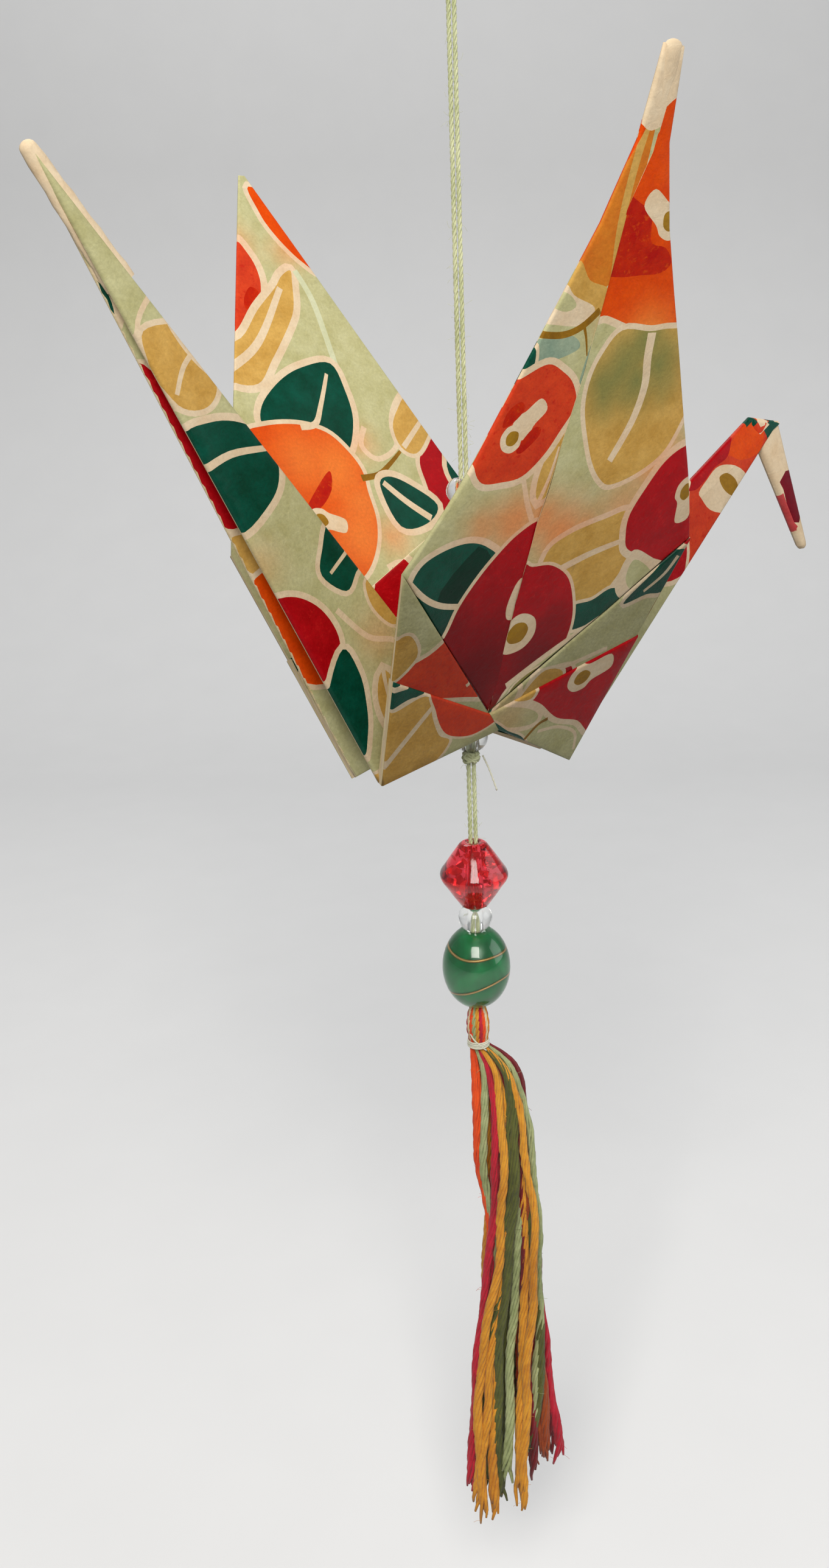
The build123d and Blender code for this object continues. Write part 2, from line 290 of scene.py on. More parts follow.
def leaf(colour, a, b, width, bow=0.0):
    """Pointed leaf from its stalk a to its tip b, with a pale midrib."""
    a, b = np.array(a, float), np.array(b, float)
    along = b - a
    across = np.array([-along[1], along[0]]) / np.linalg.norm(along)
    shares = np.linspace(0, 1, 13)
    middle = [a + along * s + across * bow * 4 * s * (1 - s) for s in shares]
    half = [width / 2 * sin(pi * s**0.8) ** 0.85 for s in shares]
    left = [p + across * h for p, h in zip(middle, half)]
    right = [p - across * h for p, h in zip(middle, half)][1:-1]
    outline = np.array(left + right[::-1])
    shape("cream", grown(outline, 0.8))
    shape(colour, outline)
    stroke("cream", [middle[0] - along * 0.03, middle[4], middle[9]], width * 0.13 + 0.25, 0.3)


# A flower's eye and its stamens, about (0, 0)
EYE = [(-1.9, 0), (-1.3, 1.25), (0, 1.6), (1.0, 1.1), (3.4, 1.0),
       (3.5, -0.8), (1.1, -1.2), (0, -1.6), (-1.3, -1.25)]
STAMENS = [(-1.1, 0), (-0.6, 0.75), (0.3, 0.8), (0.9, 0.1), (0.3, -0.75), (-0.6, -0.75)]


def spun(points, x, y, degrees, size=1.0):
    """Points about (0, 0), made larger, turned and moved to (x, y)."""
    c, s = cos(radians(degrees)), sin(radians(degrees))
    return [(x + size * (c * p - s * q), y + size * (s * p + c * q)) for p, q in points]


def eye(x, y, turn, size=1.0):
    """Keyhole of pale filaments with an ochre middle."""
    blob("cream", spun(EYE, x, y, turn, size), 0)
    blob("stamen", spun(STAMENS, x, y, turn, size), 0)


def camellia(colour, x, y, rx, ry, turn=0, look=90, size=1.0, core=None):
    """Round flower with soft lobes and an eye."""
    petals = []
    for k in range(14):
        a = 2 * pi * k / 14
        r = 1 + 0.05 * cos(5 * a + x) + 0.03 * cos(3 * a + y)
        petals.append((rx * r * cos(a), ry * r * sin(a)))
    outline = spun(petals, x, y, turn)
    blob(colour, outline, 0.7)
    if core:
        blob(core, [(x + (px - x) * 0.5, y + (py - y) * 0.5) for px, py in outline], 0)
    eye(x, y, look, size)


def near_wing_print():
    # left of the near wing's seam, and round its left fold
    camellia("coral", -2.2, 92.5, 6.2, 7.6, 20, 250, 1.0)
    blob("teal", [(-17.2, 88), (-15.8, 87), (-19, 82.4), (-23, 79.2), (-24.5, 80), (-20, 85)], 0)
    blob("amber", [(-0.6, 104.6), (-2.6, 99.8), (-5, 94.8), (-7, 90.6), (-8.4, 88.4), (-10.4, 88),
        (-12.6, 90), (-11.6, 93.4), (-8, 97.4), (-4, 101.6)], 0)
    stroke("ochre", [(-2.2, 102), (-5, 98.4), (-8.6, 94.4), (-12, 91.6), (-14.2, 90)], 1.0, 0.8)
    blob("ochre", [(-8, 88.9), (-10.6, 88.9), (-13, 90.2), (-15, 89), (-13, 87), (-9.6, 86)], 0)
    stroke("orange", [(-0.4, 105), (-2.7, 100), (-4.9, 95), (-7.3, 89.4)], 1.25, 0.55)
    blob("cream", [(-7.6, 86.6), (-10.4, 86.7), (-13.4, 88), (-14, 86.2), (-11.4, 83.6), (-9, 82),
        (-6.8, 83.6)], 0)
    blob("ground", [(-11.6, 86.4), (-11.2, 85.2), (-9.8, 84.4), (-9, 85.6), (-10.2, 86.4)], 0)
    blob("cream", [(-2.6, 101), (-1.2, 101.9), (0.6, 103.4), (3, 104.6), (4, 112), (-5, 112), (-4, 103)], 0)
    blob("teal", [(-15.6, 84.6), (-13.6, 84.4), (-10.9, 80.8), (-12.2, 79.2), (-14.2, 81.4)], 0)
    stroke("brown", [(-14.1, 88.4), (-13.9, 85.8), (-12.8, 83.6), (-10.2, 81.2)], 0.75, 0.9)
    stroke("brown", [(-13.9, 86.2), (-15.4, 85.7), (-17, 84.9)], 0.4)
    blob("green", [(-12.9, 79.6), (-11, 80.8), (-9, 80), (-8.6, 77), (-11.6, 76.4), (-12.9, 77.6)], 0.4)
    leaf("ochre", (-26, 72.6), (-21.2, 79), 3.0, 0.3)
    stroke("cream", [(-28, 71), (-25, 71.6), (-22, 72.6)], 0.7, 0.8)
    camellia("coral", -17.2, 75.6, 4.75, 6.75, 0, 90, 0.85)
    blob("core", [(-19.6, 76.2), (-19, 76.9), (-18.3, 76), (-18.6, 73.6), (-19.4, 73.8)], 0)
    blob("core", [(-15.9, 76.4), (-14.9, 76.6), (-14.5, 75), (-15.3, 73.6), (-15.9, 74.6)], 0)
    eye(-17.2, 73.9, 90, 0.86)
    blob("green", [(-28.2, 65.7), (-25.6, 65.8), (-23.2, 64.5), (-21.6, 62.2), (-20.9, 59.6), (-21.8, 57.6),
        (-24, 56), (-31.5, 54), (-33, 56.5), (-29.6, 60.4)])
    shape("deep_green", [(-28.3, 65.5), (-25.8, 65.6), (-24.5, 65.1), (-24.6, 63.4), (-24.9, 61.4),
        (-25.6, 59.4), (-27, 58), (-29.8, 60.2)])
    stroke("cream", [(-30, 60.4), (-27.4, 58.6), (-24.6, 57.7), (-21, 57.4)], 0.75, 0.8)
    blob("red", [(-28.2, 71.7), (-27.4, 69), (-27.6, 66), (-28.3, 63), (-29.6, 60), (-31.8, 57), (-34, 52),
        (-50, 51), (-53, 57), (-45, 67), (-36, 72.8), (-34.6, 70.5), (-32.2, 68.4), (-30.3, 69.8)], 0.5)
    blob("cream", [(-33, 67.1), (-33.2, 66), (-35, 64), (-36.6, 63.3), (-37.2, 64), (-35.6, 64.9),
        (-34.3, 66.2)], 0, 3)
    blob("ochre", [(-50, 56), (-45.6, 57.6), (-45.7, 59.8), (-48, 61), (-51, 60)], 0.5)
    # right of the seam
    blob("orange", [(0.6, 104), (3, 104.4), (7, 103.6), (12, 100), (16.4, 95.4), (18.4, 92), (17.2, 90.7),
        (15.2, 87.2), (13.6, 85.3), (10.3, 82.3), (6.6, 83), (2.4, 87), (0.2, 92), (-0.4, 99)])
    blob("core", [(9.8, 99.4), (8.6, 97.2), (7.7, 96.2), (8.8, 94.6), (9.5, 93.1), (8.3, 91.4), (8.4, 89.5),
        (10, 89.6), (12, 91.2), (14.6, 93.4), (15.8, 95.6), (12.8, 98.2)], 0, 3)
    blob("cream", [(1.4, 103.3), (2.9, 103.2), (4.6, 102.4), (6, 104.4), (2, 110), (-4, 110), (-3, 104),
        (-0.4, 103.2)], 0)
    eye(6.7, 93.5, 75, 1.1)
    blob("ochre", [(11.6, 83.4), (13.8, 85.2), (16.5, 88), (19.6, 87.8), (22.1, 86.6), (24.1, 84.4),
        (25.6, 81), (26.4, 78.4), (26.5, 76), (25.8, 74.2), (22.8, 72.6), (19.2, 71.8), (16.4, 72.4),
        (13, 74), (9.4, 76.4), (8.6, 80)], 0.6)
    stroke("cream", [(13.7, 84.9), (15.4, 83), (17.2, 80.4), (20.2, 78.3), (24.6, 76.8)], 1.15, 0.75)
    blob("ochre", [(25.4, 68.9), (28, 70.7), (32.4, 73.1), (35.4, 73.4), (38, 70), (36, 66), (36.6, 63),
        (33.4, 61.2), (31, 61.4), (28.2, 62.8), (27.2, 65.6)])
    stroke("cream", [(37, 70.6), (32, 68.4), (27.3, 65.8)], 1.1, 0.6)
    blob("red", [(16.2, 69.8), (19, 70.5), (22, 69.9), (25.4, 68.4), (27, 66), (27.4, 64), (26, 61),
        (24.6, 58.2), (23, 55.6), (19, 54.8), (14.5, 57.4), (13, 63), (14.2, 68)], 0.9)
    eye(18.4, 64.2, 300, 1.05)
    blob("green", [(31.2, 60.8), (33.8, 61.6), (36.2, 63.2), (37.6, 60.4), (36, 58.9), (33, 57.8), (31, 55),
        (28.6, 55.5), (29.6, 58)], 0.5)
    blob("cream", [(25, 56.4), (30, 56.6), (30.8, 60.4), (27.2, 63.3), (25.6, 60.6)], 0)
    blob("ground", [(26.2, 57.4), (29, 57.4), (29.2, 60.2), (27.2, 61.7)], 0)
    blob("red", [(38.9, 75.4), (37.5, 73.4), (35.6, 71.2), (34.8, 67.4), (36.1, 62.7), (38, 59.8),
        (39.6, 59.3), (46.5, 60.3), (53, 58), (55, 66), (47, 79)], 0.4)
    blob("cream", [(42.2, 68.9), (40.8, 68.2), (40.2, 66.2), (41.2, 64.2), (43.2, 63.7), (45.2, 65.2),
        (45, 67.8)], 0)
    blob("stamen", [(42.4, 67.9), (41.4, 67), (41.5, 65.6), (42.8, 64.9), (44, 65.9), (43.8, 67.3)], 0)
    stroke("cream", [(29.5, 56.9), (34, 58), (40, 59.2), (47, 60.5)], 0.85, 1)
    blob("ochre", [(41.5, 56), (48.5, 56), (46.8, 59.3), (42.8, 58.7)], 0.3)


def near_inner_print():
    # seen only from behind: the near wing's inner face
    leaf("green", (3.5, 72), (-6.5, 84), 7.5, 0.8)
    leaf("ochre", (-4, 71), (-12, 61), 6, -0.6)
    camellia("red", 3.5, 62, 7.2, 6.6, 10, 130, 1.05)
    leaf("green", (9.5, 57), (15, 48), 6, 0.5)
    leaf("ochre", (-3, 54.5), (-13, 50), 5, 0.5)
    stroke("brown", [(-2, 69), (-0.5, 74), (2, 78)], 0.7)


def far_wing_print():
    blob("orange", [(0.4, -104.5), (0.6, -101), (1.2, -98.8), (2.6, -96.2), (4.6, -93.8), (7, -92.5),
        (9, -97), (5, -102)])
    blob("coral", [(-10.4, -83), (-8.4, -83.7), (-5.6, -86.4), (-3.6, -89.4), (-2.9, -92), (-3.4, -94.8),
        (-5.4, -97.4), (-11, -96), (-14, -88)], 1.0)
    blob("core", [(-6.6, -87.4), (-5, -87.6), (-3.8, -89.6), (-4.8, -90.4), (-6.2, -89)], 0)
    blob("ochre", [(-12.4, -78.4), (-8.6, -77.6), (-5.4, -80.6), (-1, -85.2), (0.7, -87.6), (1.7, -90.8),
        (2.1, -92.6), (0.4, -91.8), (-1.2, -90.2), (-5, -87.2), (-8.8, -83.6), (-13, -82.4)], 1.0)
    stroke("cream", [(-13, -79.2), (-8, -81.8), (-4.6, -85), (-0.4, -90.2)], 1.2, 0.7)
    stroke("pale", [(4.1, -79.6), (4.2, -85), (3.9, -89), (2.8, -92.6)], 0.9, 1)
    blob("green", [(-9.8, -72.2), (-9.2, -74.8), (-5.4, -77.8), (-1.4, -79.4), (3.3, -79.8), (4.1, -76),
        (3.7, -72), (1.4, -68.2), (0, -70), (-2, -71.3), (-5, -72)], 0.9)
    blob("orange", [(-3, -52.4), (0, -55.3), (1.7, -58.8), (2, -62.6), (2.3, -65.4), (1.2, -68.2),
        (-1, -70.8), (-5, -72.1), (-10, -72.2), (-13.4, -71.2), (-16, -66), (-15.5, -58), (-12, -53),
        (-7, -51.2)], 0.6)
    stroke("cream", [(-4.6, -71.8), (-2.2, -72), (-0.4, -74.4), (2.1, -78.4)], 1.0, 0.5)
    blob("core", [(-8.4, -61), (-6, -61.3), (-3.4, -63.4), (-2.6, -65.8), (-5, -64.2)], 0)
    eye(-6.4, -59.8, 20, 0.95)
    stroke("brown", [(1.8, -64.4), (4.6, -64.6), (7, -65.8), (9.4, -67.3)], 0.9, 0.5)
    stroke("cream", [(5, -71), (3.6, -68.6), (5.4, -66.6), (9, -68), (9.6, -71.4), (12, -74.4),
        (16, -77)], 0.8, 0.8)
    blob("red", [(12.2, -59), (11.8, -63), (12.2, -66), (15, -68.6), (19, -69.4), (22.5, -62),
        (17, -57)], 0.7)
    blob("green", [(5.2, -57.6), (9.4, -57.4), (12.2, -59.6), (9, -62.8), (6, -64.2), (4.2, -63)], 0.9)
    stroke("cream", [(10.4, -58), (7.4, -60.8), (4.9, -63.5)], 1.0, 0.8)
    blob("ochre", [(9.8, -67.8), (12, -66.8), (15, -69), (16.8, -71.5), (14, -74.6), (11.5, -73),
        (9.6, -70.6)], 0.6)
    stroke("cream", [(10.2, -67.8), (14.6, -71)], 0.8, 0.8)
    leaf("green", (9, -47), (1.2, -52.6), 4.4, 0.4)
    camellia("red", 16, -50, 4.8, 4.6, 0, 170, 0.8)
    leaf("ochre", (-14, -46), (-6, -49), 4, 0.3)
    # outside of the far wing
    for side in (-1, 1):
        camellia("red", side * 24.5, -72, 7.2, 7.8, 15 * side, 90 + 60 * side, 1.15)
        leaf("green", (side * 17, -66), (side * 22, -60.5), 6, 0)
        leaf("ochre", (side * 18.5, -81), (side * 9.5, -88), 6.4, 0.8 * side)
        camellia("orange", side * 36, -62.5, 5.6, 6.4, -20 * side, 60, 1.0, "core")
        leaf("green", (side * 31, -71), (side * 27.5, -80.5), 5, 0.4 * side)
        leaf("ochre", (side * 31.5, -58), (side * 24, -59), 3.6, 0.2)
        stroke("brown", [(side * 16.5, -76), (side * 13.5, -79), (side * 12.6, -83)], 0.7)
        camellia("coral", side * 13, -93, 3.6, 3.8, 0, 20, 0.62)


def body_print():
    # low on the near side, right and left
    blob("green", [(19.2, 55.4), (21, 55.6), (22.6, 52), (24, 47.4), (21.2, 49.4), (18.6, 50.8)], 0.6)
    stroke("cream", [(20.4, 55), (20.6, 52.4), (22, 49.6)], 0.6, 0.7)
    stroke("brown", [(19, 52.4), (18.2, 47.6), (17, 44)], 0.55, 1)
    blob("red", [(25.4, 38.4), (27.8, 37.5), (30, 36), (29, 33.2), (24.6, 36.8)], 0.5)
    blob("ochre", [(29.6, 35), (31.4, 31), (29, 32.4)], 0.2)
    stroke("cream", [(21.4, 41.8), (25.6, 38.6), (29.4, 36.4)], 0.65, 1)
    blob("red", [(16, 16), (20, 20.8), (25, 25.8), (28.4, 29.4), (29.2, 26), (30.3, 22), (30, 18),
        (30.8, 13.6), (24, 12), (18, 13)])
    eye(24.5, 22.4, 222, 1.2)
    blob("ochre", [(25.6, 37), (25.8, 31), (26.6, 29.2), (28.6, 28.4), (29.5, 30), (30, 33.6),
        (29, 37)], 0.45)
    blob("ground", [(31.4, 34), (30.5, 31), (30.1, 27.6), (30.6, 25.4), (31.9, 25.6), (33, 29),
        (33, 33)], 0.7)
    blob("green", [(32.9, 33), (33.4, 28.6), (33.8, 25.4), (35.4, 23.4), (38, 26), (37, 34)], 0.3)
    stroke("brown", [(30.7, 23.4), (31.8, 24.4), (34, 24.9)], 0.5, 0.8)
    stroke("cream", [(32.6, 23.6), (31.4, 20.6), (31.6, 17), (33.8, 15)], 0.5, 0.8)
    blob("coral", [(-26.4, 46), (-22, 45.5), (-17, 44.8), (-20, 40.6), (-26, 36.6), (-30.6, 34),
        (-31, 38)], 0.6)
    stroke("cream", [(-28.6, 36.6), (-27.8, 38.4), (-26.2, 38.2)], 0.6, 0.8)
    blob("ochre", [(-20.2, 49.4), (-18.4, 49.4), (-17, 44.6), (-20.6, 46.2)], 0.4)
    blob("green", [(-23, 22.8), (-17.4, 20.6), (-15.2, 17), (-15.2, 13.4), (-20.8, 14.2), (-21.2, 16.6),
        (-21.1, 19.6)], 0.3)
    stroke("cream", [(-18, 14.2), (-18.3, 16.2), (-19.2, 19.6)], 0.75, 1)
    blob("ochre", [(-32, 12), (-21.4, 13.6), (-21.8, 17.4), (-21.7, 20.6), (-23, 21.8), (-25.2, 21.6),
        (-28.8, 22.2), (-30.8, 23.4), (-33, 20)], 0.4)
    stroke("cream", [(-30.4, 13.6), (-26.6, 18.4), (-23.4, 22.6)], 0.8, 0.8)
    blob("coral", [(-21.8, 22.4), (-26.6, 30.4), (-31, 30.4), (-31.8, 27), (-30.6, 24.4), (-28.6, 22.8),
        (-24.9, 22.1)], 0.3)
    # hump
    camellia("red", -9.4, -10.4, 5.4, 5.2, 30, 200, 0.8)
    leaf("green", (1, -10), (10, -13), 5, 0.4)
    camellia("orange", 5.5, 11.5, 5, 4.6, 0, 150, 0.8)
    leaf("green", (-3, 9), (-12, 13.6), 5, -0.4)
    leaf("ochre", (-1, 6.5), (-5.6, 3), 3, 0)
    leaf("ochre", (6, -5), (1.5, -2.4), 2.4, 0)
    # low on the far side
    for side in (-1, 1):
        camellia("coral", side * 24.5, -47, 4.2, 4.8, 0, 120, 0.8)
        leaf("green", (side * 22, -41), (side * 27.5, -36.5), 3.6, 0)
        leaf("ochre", (side * 24.5, -31), (side * 17, -24), 4.2, 0.3)
        camellia("red", side * 29, -22, 4.6, 4.4, 0, 100, 0.8)
        leaf("green", (side * 21, -20), (side * 15, -17), 3, 0.2)


def leg_print():
    # tail, near wall
    blob("ochre", [(-85, 3.2), (-82, 4.8), (-77.6, 5.2), (-75.6, 3.2), (-76, 0.8), (-79, -1.4),
        (-83, -0.6)], 0.6)
    stroke("cream", [(-80.6, -1), (-80, 2), (-78.4, 4.6)], 0.6, 0.8)
    stroke("cream", [(-87.4, -1), (-86, 3), (-82, 6.4)], 0.6, 0.8)
    blob("green", [(-74.8, 7), (-74.2, 3.6), (-72, 0.8), (-68.6, -0.8), (-65.2, 1), (-63.8, 4), (-64, 9),
        (-69, 8.8)], 0.8)
    stroke("cream", [(-71.2, 8), (-70.4, 4), (-68.2, 0.2)], 0.9, 0.7)
    blob("green", [(-57.4, -0.6), (-56, 2.4), (-54, 4.4), (-50.6, 3.2), (-51.2, 0.8), (-52, -1.6)], 0.6)
    stroke("cream", [(-53.8, -1), (-53.4, 3.4)], 0.5, 0.8)
    blob("red", [(-56.2, 11), (-54.6, 8.4), (-51.4, 7), (-47.8, 7.4), (-45.4, 9.6), (-43.6, 13), (-50, 15),
        (-55, 14)], 0.7)
    blob("green", [(-46.4, 8), (-43, 8.2), (-40, 9.8), (-37.4, 12), (-35.4, 15.4), (-40, 17),
        (-44.2, 12.8)], 0.7)
    blob("ochre", [(-49.6, 0.4), (-47, 1.8), (-43.6, 1.2), (-43, -1), (-47, -1.4)], 0.4)
    stroke("cream", [(-50, 5.6), (-45, 4.6), (-42, 2.2), (-39, 2.6), (-36, 6)], 0.7, 0.8)
    leaf("ochre", (-41, 5.6), (-33, 9.4), 3, 0.3)
    # tail, far wall and what shows inside it
    leaf("green", (-92, -1.6), (-86.4, -3.6), 2.4, 0)
    blob("ochre", [(-86, -0.6), (-84, -3.6), (-79, -3.4), (-77, -0.6), (-81, 0.4)], 0.5)
    blob("red", [(-82.6, -4.6), (-74, -5.8), (-65.4, -7.6), (-64, -10), (-67, -11.6), (-76, -8.6)], 0.6)
    blob("ochre", [(-63, -8.4), (-59, -9.4), (-58.6, -12), (-62, -12.4)], 0.4)
    blob("orange", [(-57.6, -9.4), (-52, -10.4), (-45.6, -11.6), (-44.6, -15.6), (-52, -17),
        (-58, -13.4)], 0.6)
    camellia("coral", -52, -4, 4.4, 3.4, 0, 170, 0.7)
    leaf("green", (-62, -1.4), (-70, -3), 3.6, 0.4)
    leaf("green", (-43, -6.4), (-35, -8.4), 3.6, 0.3)
    # neck, near wall
    blob("red", [(58, 3), (60, 7.4), (65, 8.6), (67.4, 6), (67.6, 2.6), (66.6, 0.2), (62, -1.6),
        (58.6, -0.6)], 0.6)
    blob("cream", [(66.9, 1.6), (69.2, 1.4), (70, -0.4), (69, -1.4), (67.2, -1)], 0)
    blob("coral", [(64, 9.4), (65.4, 7), (67, 4.4), (68.4, 2.4), (70.2, 0.4), (72, -1.6), (80, -2),
        (86.4, 0), (86.6, 4), (82, 7), (72, 9.4)], 0.5)
    blob("orange", [(77.6, 0.6), (79.6, 0.4), (83.4, 0.2), (85.4, 1.4), (84.6, 3.4), (82.6, 4.4),
        (79.6, 3.4), (78.4, 2)], 0)
    blob("red", [(68.4, -1), (76, -1.2), (81, -1), (79.4, 0.4), (77.6, 1.5), (75, 1.2), (72.4, 1.5),
        (70.2, 1.2)], 0)
    blob("cream", [(70.9, 2), (73, 1.6), (75.2, 1.4), (77, 2.2), (78.7, 4), (79.2, 6.2), (78, 8.4),
        (75.6, 7.2), (73.3, 6.9), (71.3, 5), (70.8, 3)], 0, 3)
    blob("stamen", [(74.9, 2.7), (76.4, 3.1), (77.2, 4.8), (76.7, 6.6), (75.4, 5.8), (74.7, 4.2)], 0)
    blob("red", [(68.6, 9.6), (70, 8.2), (72.4, 7), (75, 7.2), (76, 8.6), (73, 10.4)], 0.3)
    # its end, and the head in front of the crease
    shape("cream", [(87, -1.1), (86, -6), (96, -5), (108, -3), (108, 3), (96, 5), (86, 6), (87, 1.1)])
    for far in (1, -1):
        def marks(points):
            return [(u, far * v) for u, v in points]

        shape("wine", marks([(94.7, 0.5), (94.4, 2), (95.6, 3.6), (99, 3), (101.2, 2), (101.9, 0.9),
            (101.2, 0.25), (97.9, 0.3), (96, 0.6)]))
        shape("rose", marks([(96.4, -0.2), (96.4, 0.4), (97.9, 0.3), (101.2, 0.25), (102.1, 0.5),
            (102.5, -0.2)]))
        shape("green", marks([(82.8, -0.6), (83, 0.3), (85, 0.9), (85.4, 0.9), (85.4, -0.6)]))
        shape("cream", marks([(85.3, 0.9), (84.8, 1.9), (85.1, 2.7), (86.3, 2.4), (86.7, 1.7), (86.3, 1)]))
        shape("green", marks([(86.3, 2.4), (85.1, 2.7), (85, 4.4), (88.2, 4.8), (87.8, 3.2), (87, 2.4)]))
    leaf("green", (55, 7), (48, 3.2), 4.2, 0.3)
    leaf("ochre", (57, 2), (47, -1), 3.6, 0.4)
    camellia("red", 40, 7.2, 4, 3.8, 0, 20, 0.75)
    # neck, far wall
    camellia("red", 68, -3.4, 4.8, 3.4, 0, 10, 0.7)
    leaf("green", (61, -4), (54, -8), 3.8, 0.3)
    leaf("ochre", (74, -2), (82, -3.4), 2.6, 0)
    camellia("orange", 45, -6, 4.6, 4.2, 0, 60, 0.75, "core")
    leaf("green", (38, -5), (31, -9), 3.6, 0.2)
    # walls inside the neck and the tail
    for side in (-1, 1):
        for k, colour in enumerate(("green", "ochre", "coral", "green")):
            at = 50 + 9.5 * k
            if side * at > 0 or k != 2:
                leaf(colour, (side * at, 0.29 * (106 - at)), (side * (at + 7), 0.3 * (99 - at)), 2.6, 0)


near_wing_print()
near_inner_print()
far_wing_print()
body_print()
leg_print()


# Soft washes of colour on the sheet: place, radius and strength. GLOW marks peach washes of the print; the
# second list marks painted shade.
GLOW = [
    (-29, 73.6, 5.4, 1.0), (-31.5, 70.6, 4, 0.9), (-25.6, 69.4, 3.4, 1.0), (-23, 66.6, 2.4, 0.8),
    (-16, 88.8, 2, 0.4), (20, 71.8, 4.2, 0.8), (26, 70, 4, 0.6), (33, 74.4, 3.6, 1.0), (34, 77.4, 3, 1.0),
    (31, 72.4, 3, 0.8), (36, 68, 2.6, 0.6), (3.4, -56.5, 2.4, 0.7), (3.6, -69, 2.2, 0.5),
    (-4.6, -96.4, 2.6, 0.5), (2.4, -95, 2.4, 0.5), (24.5, -63.5, 4, 0.6), (-24.5, -63.5, 4, 0.6),
    (12, 62, 3.4, 0.6), (-44, 3.4, 3, 0.4), (-60, 9.4, 2.6, 0.3), (32, 30, 3, 0.3),
]
# Painted shade, in the same form: the inks darken there, and the orange turns paler.
PAINTED_SHADE_SPOTS = [
    (-40, 57, 9, 1.0), (-33, 57.5, 5, 0.8), (43, 60.5, 6, 0.9), (46, 57.5, 6, 1.0), (39, 63, 3.5, 0.6),
    (14.6, 84.6, 3.2, 1.0), (17.6, 84.8, 3.2, 1.0), (20.6, 84.8, 3, 1.0), (14.4, 81.4, 3.2, 1.0),
    (18, 81.8, 3.2, 1.0), (21.6, 83.2, 2.4, 0.9), (15.2, 78.8, 2.4, 0.8), (-6, 9, 4, 0.5),
    (-26, 40, 6, 0.7), (-1.5, -57, 5, 0.7), (-1.5, -66, 5, 0.7), (-6, -67.5, 4.5, 0.6), (0.5, -61, 4, 0.7),
    (97.4, 1.7, 4.6, 0.9), (50, 64, 6, 0.8), (46, 71, 4, 0.5), (20, -70, 4, 0.4), (-29, -74, 4, 0.5),
]

# Folding, with the same values as the part: half the square's side, the notch
# below the hump, the keel, the hump's height and the length of a wing's bend
HALF = 75.0
NOTCH_Y = 3.4
KEEL = 4.15
HUMP = 23.7
BEND = 12.0
LAYER = 0.25
# The extra height of the flap that lies on top at a wing's seam, and how far
# each flap's edge lies from the seam's line
SEAM_STEP, SEAM_SHIFT = 0.035, 0.06
# Painted shade: below this height in metres the sheet's colour darkens, over this depth, by at most this
# share
SHADE_TOP, SHADE_DEPTH, SHADE_MOST = -0.055, 0.045, 0.16
NARROW, KITE = tan(radians(11.25)), tan(radians(22.5))
CORNER = HALF * KITE
FREE_Y = HALF * (KITE - NARROW) / (KITE + NARROW)
FREE_X = NARROW * (FREE_Y + HALF)
GUSSET_Y = (CORNER - NARROW * HALF) / (1 + NARROW)
GUSSET_X = NARROW * (GUSSET_Y + HALF)
TUCK_Y = HALF / cos(radians(22.5)) - HALF
# Neck and tail: the crease's angle and how far the leg drops, in degrees
LEGS = {1: (29.1, -1.4), -1: (16.5, 5.1)}
# The length of the head, its crease, the beak's droop and the cut of the tail's end
HEAD, CREASE, DROOP, TAIL_CUT = 21.8, radians(-8.0), radians(9.4), 2.4
# Half the thickness of a leg's wall and of the head, and half the gap inside a leg
LEG_THICK, HEAD_THICK, LEG_GAP = 0.37, 0.72, 0.45


def other_side(p):
    return (-p[0], p[1])


def turned(axis, degrees):
    c, s = cos(radians(degrees)), sin(radians(degrees))
    rows = {
        "x": [[1, 0, 0], [0, c, -s], [0, s, c]],
        "y": [[c, 0, s], [0, 1, 0], [-s, 0, c]],
        "z": [[c, -s, 0], [s, c, 0], [0, 0, 1]],
    }
    return np.array(rows[axis])


class Half:
    """One half of the crane: where a flat point of it lies when opened."""

    def __init__(self, out, lean, bend, turn, splay, gap):
        r = turned("z", out * splay) @ turned("x", out * lean) @ turned("y", turn)
        self.out, self.bend = out, radians(bend)
        self.x, self.up, self.outward = r[:, 0], r[:, 2], -out * r[:, 1]
        self.origin = np.array([0, -out * gap, -KEEL]) + KEEL * r[:, 2]

    def at(self, x, y, lift=0.0):
        past = max(0.0, y - FREE_Y)
        t = self.bend * min(past, BEND) / BEND
        u, v = y, 0.0
        if past > 0:
            radius = BEND / self.bend
            rest = max(0, past - BEND)
            u = FREE_Y + radius * sin(t) + rest * cos(t)
            v = radius * (1 - cos(t)) + rest * sin(t)
        return self.origin + x * self.x + (u - lift * sin(t)) * self.up + (v + lift * cos(t)) * self.outward


NEAR = Half(1, lean=26.6, bend=-9.7, turn=1.0, splay=0.8, gap=1.0)
FAR = Half(-1, lean=28.1, bend=-2.0, turn=-0.4, splay=-6.9, gap=2.0)


def keel_corner(side):
    """Flat point where the neck's or tail's crease meets the keel."""
    s = radians(LEGS[side][0])
    reach = NARROW * (NOTCH_Y + HALF) / (cos(s) + NARROW * sin(s))
    return side * (reach * cos(s)), NOTCH_Y - reach * sin(s)


def leg_direction(side):
    """Rise of the neck or tail, and its direction in space."""
    crease, drop = LEGS[side]
    rise = radians(90 - 2 * crease - drop)
    return rise, np.array([side * cos(rise), 0, sin(rise)])


KEEL_CORNERS = {side: keel_corner(side) for side in LEGS}
NOTCH, APEX = np.array([0, 0, NOTCH_Y]), np.array([0, 0, NOTCH_Y + HUMP])


def mirrored(p, a, b):
    """Mirror image of p across the line from a to b."""
    d = np.subtract(b, a) / np.linalg.norm(np.subtract(b, a))
    w = np.subtract(p, a)
    return np.asarray(a) + 2 * (w @ d) * d - w


def narrowed(x, y):
    return mirrored((x, y), (0, -HALF), (NARROW * HALF, 0))


# Each of these gives a function from a flat point of a fold to its place on the sheet

